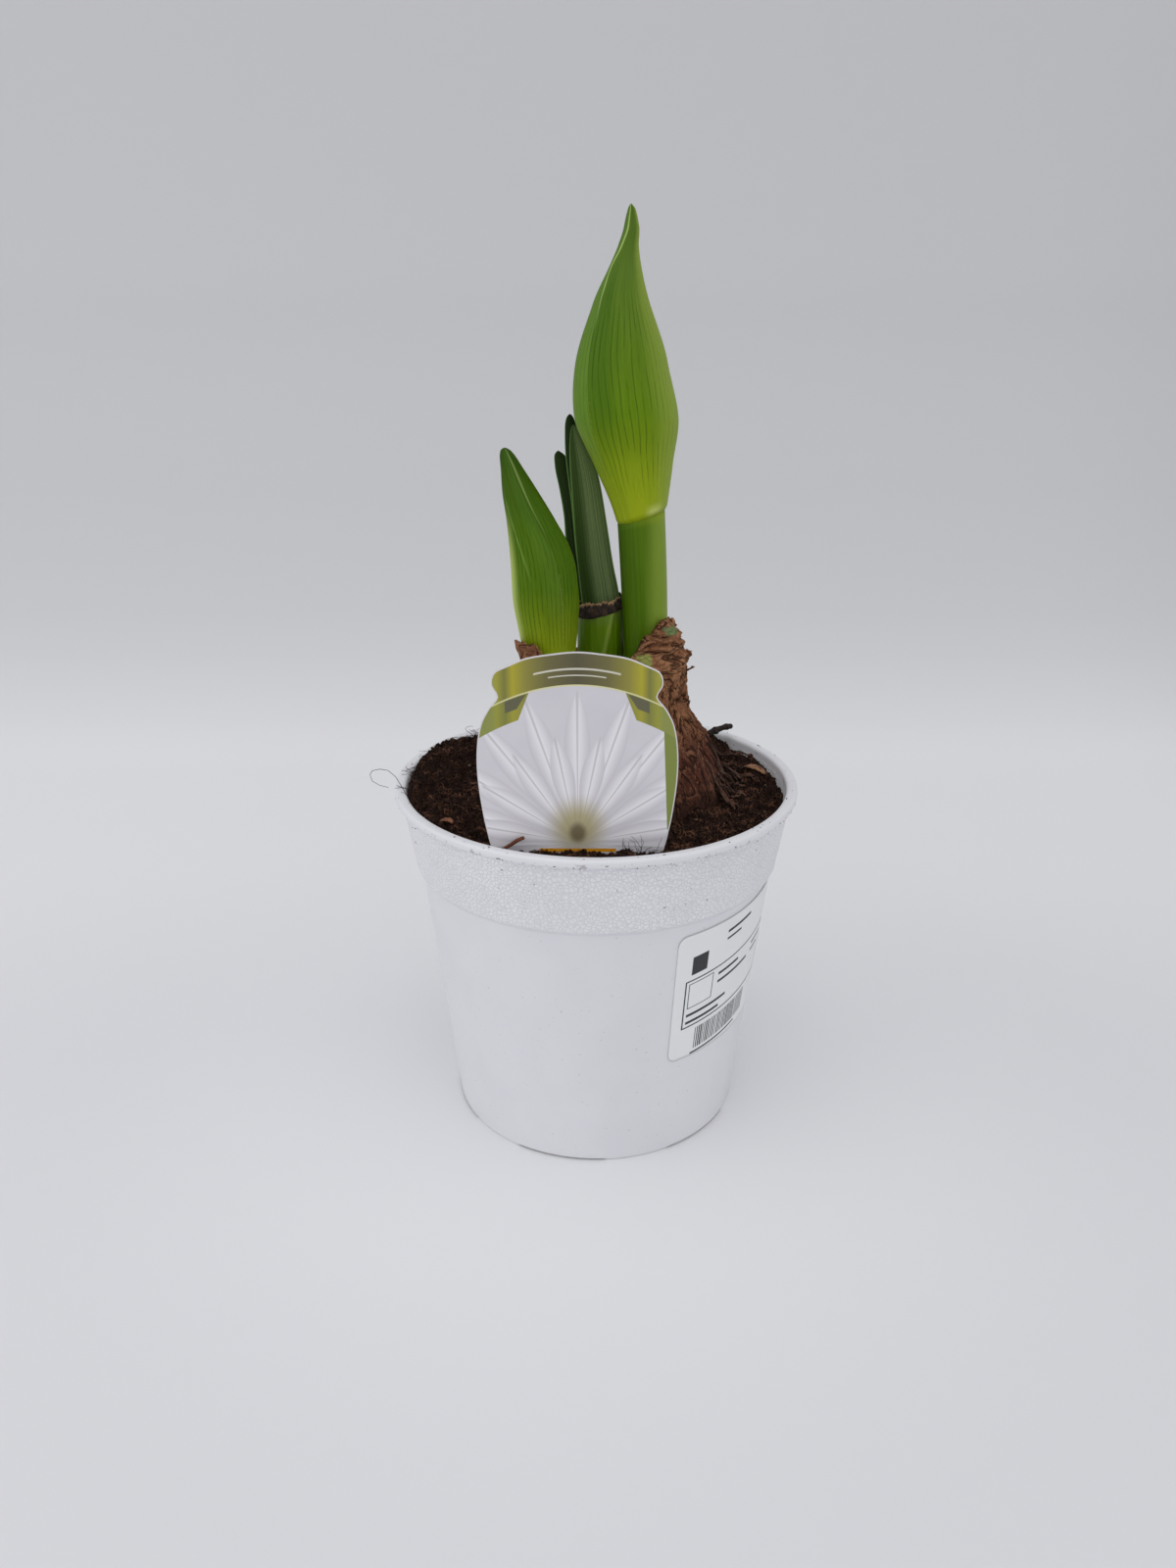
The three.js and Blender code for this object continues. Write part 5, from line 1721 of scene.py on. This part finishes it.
def bud(name, sizes, rows, centre_y, seam_rows, foot_at, cleft=0.0):
    """A closed spathe: the outer valve ends in a thin step beside its seam."""
    centre = column(rows, 1)
    half = column(rows, 2)
    seam = through(seam_rows)
    tip = rows[-1][0]
    columns = 192

    def ring(share, turn):
        around = turn / FULL_TURN
        past = min(around * columns / (columns - 1), 1) * 360
        if around > 1 - 0.5 / columns:
            past = 0
        lifted = 1 - (1 - share) ** 1.12
        guess = mix(foot_at(0), tip, lifted)
        bearing = (seam(guess) + past) * DEGREE
        foot = foot_at(math.cos(bearing)) - 0.7
        height = mix(foot, tip, lifted)
        width = half(height)
        body = smooth((lifted - 0.45) / 0.3) * smooth((tip - height) / 10)
        step = sizes.seam_step / MM * (1 - smooth(past / 130)) * body
        furrow = 0.06 * math.cos(sizes.vein_count * bearing) * smooth((height - foot) / 12)
        furrow = furrow * min(width / 9, 1)
        rounding = 1.1 * (1 - min(math.sqrt(max(height - foot, 0) / 1.8), 1))
        off_cleft = math.degrees(math.sin(bearing + 1.4)) / 25
        lobes = cleft * math.exp(-(off_cleft ** 2)) * smooth((height - tip + 5) / 5)
        dome = math.sqrt(max(1 - max(1 - (tip - height) / 1.1, 0) ** 2, 0.01))
        radius = max((width + step + furrow - rounding) * dome - lobes, 0.12)
        depth = mix(STALK_DEPTH, BUD_DEPTH, smooth((height - foot) / 20))
        x = centre(height) + radius * math.cos(bearing)
        y = centre_y + depth * radius * math.sin(bearing)
        return x, y, height, (height - foot) / (tip - foot), bearing / FULL_TURN, past / 360

    return round_body(name, columns, 170, ring, ("rise", "bearing", "past"))


def bud_finish(sizes, name, green_at, seam, sunny, left_light):
    """A bud's green with its veins, and painted light and shade: seam sets the painted shade beside the seam,
    the paler inner valve with its painted highlight and the painted highlight line along the valve's edge;
    sunny sets the painted light on the right side and the painted highlight by the joint; left_light sets the
    painted light on the lower left and the painted highlight along the keel.
    """
    finish = Finish(name, roughness=0.4, specular_ior_level=0.09)
    place = finish.place()
    rise = finish.mark("rise")
    bearing = finish.mark("bearing")
    past = finish.mark("past")
    sway = finish.noise(finish.point(bearing * 8, rise * 3, 0.0), 1.0, 2.0)
    veins = abs((bearing * sizes.vein_count + (sway - 0.5) * 1.4).fraction() - 0.5) * 2
    narrow = abs((bearing * sizes.vein_count * 3 + sway * 3).fraction() - 0.5) * 2
    broken = finish.noise(finish.point(bearing * 60, rise * 8, 2.0), 1.0, 2.0)
    vein = veins.fall(0.0, 0.24) * broken.rise(0.3, 0.55) * rise.rise(0.05, 0.2) * rise.fall(0.62, 0.85)
    streak = finish.noise(finish.point(bearing * 130, rise * 6, 5.0), 1.0, 3.0)
    broad = finish.noise(finish.point(bearing * 26, rise * 3, 9.0), 1.0, 2.0)
    fine = finish.noise(place, 2200.0, 2.0)
    cells = finish.cells(finish.stretch(place, 1.0, 1.0, 0.35), 1500.0)
    green = finish.tones(rise, green_at)
    green = finish.blend(broad.rise(0.4, 0.65) * 0.3, green, finish.blend(0.5, green, shade(58, 96, 4)))
    green = finish.blend(streak.rise(0.35, 0.7) * 0.25, green, finish.blend(0.5, green, shade(140, 166, 50)))
    green = finish.blend(vein * 0.8, green, finish.blend(0.75, green, shade(44, 72, 0)))
    green = finish.blend(narrow.fall(0.0, 0.4) * 0.12, green, shade(56, 88, 6))
    # Painted light on the right side, and on the lower left of the short bud.
    right = (bearing * FULL_TURN).math("COSINE")
    green = finish.blend(right.rise(0.35, 1.0) * sunny, green, shade(140, 160, 64))
    left = (0 - right).rise(0.72, 1.0) * rise.fall(0.5, 0.8)
    green = finish.blend(left * left_light, green, shade(184, 200, 108))
    shaded = past.fall(0.05, 0.13) * rise.rise(0.2, 0.4) * rise.fall(0.7, 0.9)
    green = finish.blend(shaded * seam, green, finish.blend(0.6, green, shade(48, 88, 6)))
    # The inner valve's paler strip beside the seam: its own paler green, partly painted highlight.
    inner = past.rise(0.88, 0.95) * rise.rise(0.15, 0.35)
    green = finish.blend(inner * seam * 0.5, green, shade(96, 132, 56))
    # Painted highlight: a thin pale line along the outer valve's edge.
    wide = rise.rise(0.72, 0.95) * 0.03 + 0.012
    rim = (past / wide).fall(0.4, 1.0) * rise.rise(0.6, 0.78)
    green = finish.blend(rim * seam, green, shade(168, 192, 112))
    # Painted highlight along the short bud's keel.
    crease = abs(bearing + rise * 0.294 - 0.819)
    crease = crease.fall(0.002, 0.009) * rise.rise(0.4, 0.55) * rise.fall(0.75, 0.85)
    green = finish.blend(crease * left_light * 0.6, green, shade(128, 160, 74))
    # Painted highlight: a pale spot on the right side just above the joint.
    joint = right.near(0.5, 0.05, 0.4) * rise.fall(0.01, 0.06) * rise.rise(0.0, 0.012)
    green = finish.blend(joint * sunny * 0.8, green, shade(214, 222, 140))
    green = finish.blend(rise.fall(0.002, 0.03), green, finish.blend(0.5, sizes.stalk, sizes.bud_foot))
    finish.set(
        base_color=green,
        roughness=0.36 + streak * 0.14,
        normal=finish.relief(1 - vein * 0.8 + fine * 0.15 + streak * 0.25 + cells * 0.2, 0.12),
    )
    return finish


def colour_mix(first, second, share):
    """A colour between two others."""
    return tuple(mix(a, b, share) for a, b in zip(first, second))


def make_buds(sizes):
    tall = bud("tall_flower_bud", sizes, TALL_BUD, TALL_Y, TALL_SEAM, tall_joint)
    tall_greens = [
        (0.0, sizes.bud_foot), (0.14, colour_mix(sizes.bud_foot, sizes.bud_middle, 0.4)),
        (0.36, sizes.bud_middle), (0.6, colour_mix(sizes.bud_middle, sizes.bud_top, 0.5)),
        (0.8, sizes.bud_top), (1.0, colour_mix(sizes.bud_top, sizes.short_top, 0.35)),
    ]
    dress(tall, bud_finish(sizes, "tall_bud_green", tall_greens, 0.8, 0.85, 0.0), "bud_green", "tall_bud")
    short = bud("short_flower_bud", sizes, SHORT_BUD, SHORT_Y, SHORT_SEAM, short_joint, 0.5)
    short_greens = [
        (0.0, sizes.bud_foot), (0.12, colour_mix(sizes.bud_foot, sizes.short_middle, 0.35)),
        (0.4, colour_mix(sizes.short_middle, sizes.bud_middle, 0.35)), (0.62, sizes.short_middle),
        (1.0, sizes.short_top),
    ]
    finish = bud_finish(sizes, "short_bud_green", short_greens, 0.35, 0.0, 0.85)
    dress(short, finish, "bud_green", "short_bud")


# Leaves and sheath

def leaf_finish(sizes, name, dark, pale):
    finish = Finish(name, roughness=0.45, specular_ior_level=0.09)
    place = finish.place()
    across = finish.mark("across")
    _, _, z = finish.axes(place)
    veins = finish.noise(finish.point(across * 11, z * 14, 0.0), 1.0, 3.0, 0.6)
    lines = abs((across * 7.0 + (veins - 0.5) * 0.5).fraction() - 0.5) * 2
    fine = finish.noise(place, 2200.0, 2.0)
    # Painted shade: a leaf further back is darkened by its dark share.
    green = finish.blend(dark, sizes.leaf, shade(12, 30, 0))
    green = finish.blend(veins.rise(0.35, 0.65) * 0.4, green, finish.blend(0.5, green, shade(92, 116, 62)))
    green = finish.blend(lines.fall(0.0, 0.35) * 0.35, green, shade(26, 42, 14))
    # Painted sheen: paler towards the leaf's right side.
    right_sheen = across.rise(-0.6, 0.1) * pale * (0.55 + veins.rise(0.35, 0.6) * 0.45)
    green = finish.blend(right_sheen, green, shade(110, 128, 82))
    edge = abs(across).rise(0.9, 0.97)
    green = finish.blend(edge * 0.85, green, sizes.leaf_pale)
    finish.set(
        base_color=green,
        roughness=0.4 + fine * 0.15,
        normal=finish.relief(lines.rise(0.0, 0.5) * 0.6 + veins * 0.4, 0.14),
    )
    return finish


def make_leaves(sizes):
    for name, (rows, depth) in LEAVES.items():
        dark, pale = LEAF_TONES[name]
        centre = column(rows, 1)
        half = column(rows, 2)
        depth_at = through(depth)
        tip = rows[-1][0]

        def ring(share, turn, centre=centre, half=half, depth_at=depth_at, tip=tip):
            height = mix(LEAF_FOOT, tip, 1 - (1 - share) ** 1.5)
            width = half(height) * math.sqrt(max(1 - max(1 - (tip - height) / 1.2, 0) ** 2, 0.02))
            across = math.cos(turn)
            channel = sizes.leaf_channel / MM * (width / 6) * across ** 2
            thin = mix(1, 0.55, across ** 2) * mix(1, 0.7, smooth(share))
            through_leaf = math.copysign(abs(math.sin(turn)) ** 0.7, math.sin(turn))
            rib = 0.05 * math.cos(across * 22)
            y = depth_at(height) + channel + through_leaf * (sizes.leaf_thickness / MM / 2 * thin + rib)
            return centre(height) + width * across, y, height, across

        piece = round_body(name + "_blade", 96, 110, ring, ("across",))
        dress(piece, leaf_finish(sizes, name + "_green", dark, pale), "leaf_green", name)


def sheath_top(across):
    """Height of the sheath's slanting upper edge."""
    return SHEATH_TOP + SHEATH_SLOPE * SHEATH_HALF_WIDTH * across


def sheath_point(height, turn, grow=0.0):
    """A place on the sheath, and how far it is on the fold that winds up its front."""
    fold_turn = mix(-115, -62, (height - SHEATH_FOOT) / (SHEATH_TOP - SHEATH_FOOT)) * DEGREE
    bearing = math.atan2(math.sin(turn), math.cos(turn))
    fold = 0.5 * math.exp(-((bearing - fold_turn) / 0.12) ** 2)
    taper = mix(0.98, 1, smooth((height - SHEATH_FOOT) / 20)) + grow / SHEATH_HALF_WIDTH
    flute = 0.06 * math.cos(21 * turn + height / 9)
    x = SHEATH_X + (SHEATH_HALF_WIDTH * taper + fold + flute) * math.cos(turn) - 0.8 * max(-math.cos(turn), 0)
    y = SHEATH_Y + (SHEATH_HALF_DEPTH * taper + fold + flute) * math.sin(turn)
    return x, y, fold


def sheath_finish(sizes):
    finish = Finish("sheath_green", roughness=0.4, specular_ior_level=0.15)
    place = finish.place()
    around, _, _ = finish.axes(finish.chart())
    _, _, z = finish.axes(place)
    fold = finish.mark("fold")
    lines = finish.noise(finish.point(around * 48, z * 25, 0.0), 1.0, 3.0)
    fine = finish.noise(place, 1800.0, 2.0)
    spot = finish.cells(finish.stretch(place, 1.0, 1.0, 0.4), 150.0)
    green = finish.blend(lines.rise(0.35, 0.66) * 0.4, sizes.sheath, shade(74, 108, 8))
    # Painted highlight on the fold that winds up the sheath's front.
    green = finish.blend(fold.rise(0.05, 0.45) * 0.65, green, shade(140, 164, 66))
    green = finish.blend(z.rise(0.162, 0.168) * 0.4, green, shade(118, 132, 74))
    green = finish.blend((spot < 0.06) * 0.8, green, shade(34, 36, 18))
    finish.set(
        base_color=green,
        roughness=0.36 + lines * 0.15,
        normal=finish.relief(lines * 0.6 + fine * 0.15, 0.14),
    )
    return finish


def torn_finish(sizes):
    finish = Finish("torn_brown", roughness=0.9)
    place = finish.place()
    high = finish.mark("high")
    fray = finish.noise(finish.stretch(place, 1.0, 1.0, 0.3), 1300.0, 4.0, 0.7)
    wave = finish.noise(place, 210.0, 3.0, 0.6)
    dry = finish.blend(0.3, sizes.torn, shade(96, 72, 54))
    tone = finish.blend(fray.rise(0.42, 0.64), shade(24, 16, 11), dry)
    tone = finish.blend((high + wave * 0.7).rise(1.1, 1.3) * fray.rise(0.3, 0.5), tone, shade(170, 136, 100))
    finish.set(base_color=tone, roughness=0.8 + fray * 0.15, normal=finish.relief(fray, 0.5))
    return finish


def make_sheath(sizes):
    def ring(share, turn):
        height = mix(SHEATH_FOOT, sheath_top(math.cos(turn)) + 0.4, share)
        x, y, fold = sheath_point(height, turn)
        return x, y, height, fold

    piece = round_body("sheath_body", 132, 70, ring, ("fold",))
    dress(piece, sheath_finish(sizes), "sheath_green", "leaf_sheath")
    section = 26

    def place(u, v):
        turn = u * FULL_TURN
        loop = (v * section % section) / section
        foot = sheath_top(math.cos(turn))
        ragged = 0.7 * bumps(turn * 4, 1, 9) + 0.7 * grain(*circle(turn, 9), 2)
        fray = 0.4 * grain(*circle(turn, 15), 7) + 0.16 * grain(*circle(turn, 60), 1)
        front = math.exp(-((math.sin((turn + 2.0) / 2) / 0.36) ** 2))
        tall = 2.9 + 0.8 * ragged + 1.0 * fray + 0.9 * front
        swing = loop * FULL_TURN
        high = 0.5 - 0.5 * math.cos(swing)
        out = 0.6 * math.sin(swing) * (1 - 0.55 * high)
        crumple = 0.45 * plate(*circle(turn, 4), high * 1.5)
        crumple += 0.12 * grain(*circle(turn, 22), high * 5)
        x, y, _ = sheath_point(foot, turn, -0.2 + out + crumple - 0.5 * high)
        return x, y, foot - 0.7 - 0.6 * front + high * (tall + 0.7 + 0.6 * front), high

    edge = close_up(sheet("torn_sheath_edge", 220, section, place, ("high",)))
    dress(edge, torn_finish(sizes), "dry_brown", "sheath_torn_edge")


# Stage

def make_stage(sizes):
    reach = 0.30
    bend = 0.26
    wall_top = 2.4
    half_width_mm = 2600
    front_mm = -2200
    floor_share = 0.3
    wall_share = 0.8

    def place(u, v):
        """The floor up to its share of the sheet, then a quarter round, then the wall."""
        x = mix(-half_width_mm, half_width_mm, u)
        if v < floor_share:
            return x, mix(front_mm, reach / MM, v / floor_share), 0
        if v < wall_share:
            swing = (v - floor_share) / (wall_share - floor_share) * math.pi / 2
            return x, (reach + bend * math.sin(swing)) / MM, bend / MM * (1 - math.cos(swing))
        return x, (reach + bend) / MM, mix(bend, wall_top, (v - wall_share) / (1 - wall_share)) / MM

    backdrop = sheet("backdrop", 4, 80, place)
    pick(backdrop)
    bpy.ops.object.shade_smooth()
    finish = Finish("backdrop_paper", roughness=0.9, specular_ior_level=0.1)
    soft = finish.noise(finish.place(), 4.0, 2.0)
    _, _, z = finish.axes(finish.place())
    # Painted light falloff: lightest at the floor line, darker up the wall.
    wall = finish.tones(z / 0.45, [
        (0.0, shade(234, 234, 237)), (0.022, shade(225, 225, 228)), (0.045, shade(219, 219, 222)),
        (0.08, shade(212, 212, 215)), (0.13, shade(206, 206, 209)), (0.2, shade(203, 203, 206)),
        (0.3, shade(201, 201, 204)), (0.64, shade(205, 205, 208)), (0.96, shade(202, 202, 205)),
    ])
    x, y, _ = finish.axes(finish.place())
    tone = finish.blend(y.fall(-0.02, 0.19), wall, sizes.floor)
    around = (x * x + y * y).math("SQRT")
    # Painted light: the floor is lightened round the pot's foot, where its shadow falls.
    tone = finish.blend(around.fall(0.04, 0.2) * (z < 0.001), tone, shade(236, 236, 239))
    tone = finish.blend(soft * 0.1, tone, shade(206, 206, 211))
    # Painted shade: darker towards the right.
    finish.set(base_color=finish.blend(x.rise(0.3, 0.65) * 0.4, tone, shade(180, 180, 184)))
    backdrop.data.materials.append(finish.material)

    bpy.ops.object.camera_add(location=(0, -sizes.camera_distance, sizes.camera_height))
    camera = bpy.context.object
    turns = (90 - CAMERA_DOWN, CAMERA_ROLL, CAMERA_ASIDE)
    camera.rotation_euler = Euler([math.radians(turn) for turn in turns])
    camera.data.lens = sizes.lens
    camera.data.sensor_width = FRAME_SIZE
    camera.data.clip_start = 0.01
    bpy.context.scene.camera = camera

    world = bpy.data.worlds.new("soft_room")
    bpy.context.scene.world = world
    world.use_nodes = True
    background = world.node_tree.nodes["Background"]
    background.inputs["Color"].default_value = (0.99, 1.0, 1.0, 1)
    background.inputs["Strength"].default_value = sizes.ambient

    bpy.ops.object.light_add(type="AREA", location=(-0.05, -0.1, 1.3))
    overhead = bpy.context.object
    overhead.data.shape = "RECTANGLE"
    overhead.data.size = 1.7
    overhead.data.size_y = 1.5
    overhead.data.energy = sizes.overhead
    bpy.ops.object.light_add(type="AREA", location=(-0.8, -0.35, 0.4))
    left = bpy.context.object
    left.data.size = 0.7
    left.data.energy = sizes.side
    left.rotation_euler = (Vector((0, 0, 0.1)) - left.location).to_track_quat("-Z", "Y").to_euler()
    bpy.context.scene.view_settings.view_transform = "Standard"


# Operators

class StageOperator(bpy.types.Operator):
    """Sets the floor, the soft lights and the camera."""
    bl_idname = "amaryllis.stage"
    bl_label = "Stage"

    def execute(self, context):
        make_stage(context.scene.amaryllis_stage)
        return {"FINISHED"}


class PotOperator(bpy.types.Operator):
    """Makes the nursery pot, the specks on its rim and its side sticker."""
    bl_idname = "amaryllis.pot"
    bl_label = "Pot"

    def execute(self, context):
        sizes = context.scene.amaryllis_pot
        make_pot(sizes)
        make_rim_specks(sizes, context.scene.amaryllis_soil)
        make_sticker(sizes)
        return {"FINISHED"}


class LabelOperator(bpy.types.Operator):
    """Makes the die-cut plant label with its generic print."""
    bl_idname = "amaryllis.label"
    bl_label = "Plant label"

    def execute(self, context):
        make_label(context.scene.amaryllis_label)
        return {"FINISHED"}


class SoilOperator(bpy.types.Operator):
    """Makes the soil with its crumbs, fibres and root hairs."""
    bl_idname = "amaryllis.soil"
    bl_label = "Soil"

    def execute(self, context):
        sizes = context.scene.amaryllis_soil
        make_soil(sizes)
        make_crumbs(sizes)
        make_fibres(sizes)
        make_root_hairs(sizes)
        return {"FINISHED"}


class LitterOperator(bpy.types.Operator):
    """Makes the twig and the two bark flakes that lie on the soil."""
    bl_idname = "amaryllis.litter"
    bl_label = "Twig and bark"

    def execute(self, context):
        sizes = context.scene.amaryllis_soil
        make_twig(sizes)
        make_flake(sizes, "curled_flake", "bark_flake", CURLED_FLAKE, sizes.bark)
        make_flake(sizes, "small_chip", "bark_chip", SMALL_CHIP, shade(150, 100, 70))
        return {"FINISHED"}


class BulbOperator(bpy.types.Operator):
    """Makes the bulb's wrinkled tunic with its flakes and strips, and finishes the roots."""
    bl_idname = "amaryllis.bulb"
    bl_label = "Bulb"

    def execute(self, context):
        sizes = context.scene.amaryllis_bulb
        make_bulb(sizes)
        make_tunic_flakes(sizes)
        make_tunic_strips(sizes, context.scene.amaryllis_soil)
        dress_roots(sizes)
        return {"FINISHED"}


class BudsOperator(bpy.types.Operator):
    """Makes the two flower stalks and their closed buds."""
    bl_idname = "amaryllis.buds"
    bl_label = "Stalks and buds"

    def execute(self, context):
        sizes = context.scene.amaryllis_plant
        make_stalks(sizes)
        make_buds(sizes)
        return {"FINISHED"}


class LeavesOperator(bpy.types.Operator):
    """Makes the three strap leaves and the sheath round their feet."""
    bl_idname = "amaryllis.leaves"
    bl_label = "Leaves"

    def execute(self, context):
        sizes = context.scene.amaryllis_plant
        make_leaves(sizes)
        make_sheath(sizes)
        return {"FINISHED"}


OPERATORS = [
    StageOperator, PotOperator, LabelOperator, SoilOperator,
    LitterOperator, BulbOperator, BudsOperator, LeavesOperator,
]


class AmaryllisPanel(bpy.types.Panel):
    """Lists the pieces and their settings."""
    bl_idname = "VIEW3D_PT_amaryllis"
    bl_label = "Potted amaryllis"
    bl_space_type = "VIEW_3D"
    bl_region_type = "UI"
    bl_category = "Amaryllis"

    def draw(self, context):
        for operator in OPERATORS:
            self.layout.operator(operator.bl_idname)
        for name, group in SETTINGS.items():
            box = self.layout.box()
            box.label(text=name.replace("amaryllis_", "").title())
            for key in group.__annotations__:
                box.prop(getattr(context.scene, name), key)


def register():
    for group in SETTINGS.values():
        bpy.utils.register_class(group)
    for name, group in SETTINGS.items():
        setattr(bpy.types.Scene, name, bpy.props.PointerProperty(type=group))
    for operator in OPERATORS:
        bpy.utils.register_class(operator)
    bpy.utils.register_class(AmaryllisPanel)


def unregister():
    bpy.utils.unregister_class(AmaryllisPanel)
    for operator in reversed(OPERATORS):
        bpy.utils.unregister_class(operator)
    for name in SETTINGS:
        delattr(bpy.types.Scene, name)
    for group in reversed(list(SETTINGS.values())):
        bpy.utils.unregister_class(group)


def main():
    register()
    bpy.ops.amaryllis.stage()
    bpy.ops.amaryllis.pot()
    bpy.ops.amaryllis.label()
    bpy.ops.amaryllis.soil()
    bpy.ops.amaryllis.litter()
    bpy.ops.amaryllis.bulb()
    bpy.ops.amaryllis.buds()
    bpy.ops.amaryllis.leaves()


if __name__ == "__main__":
    main()
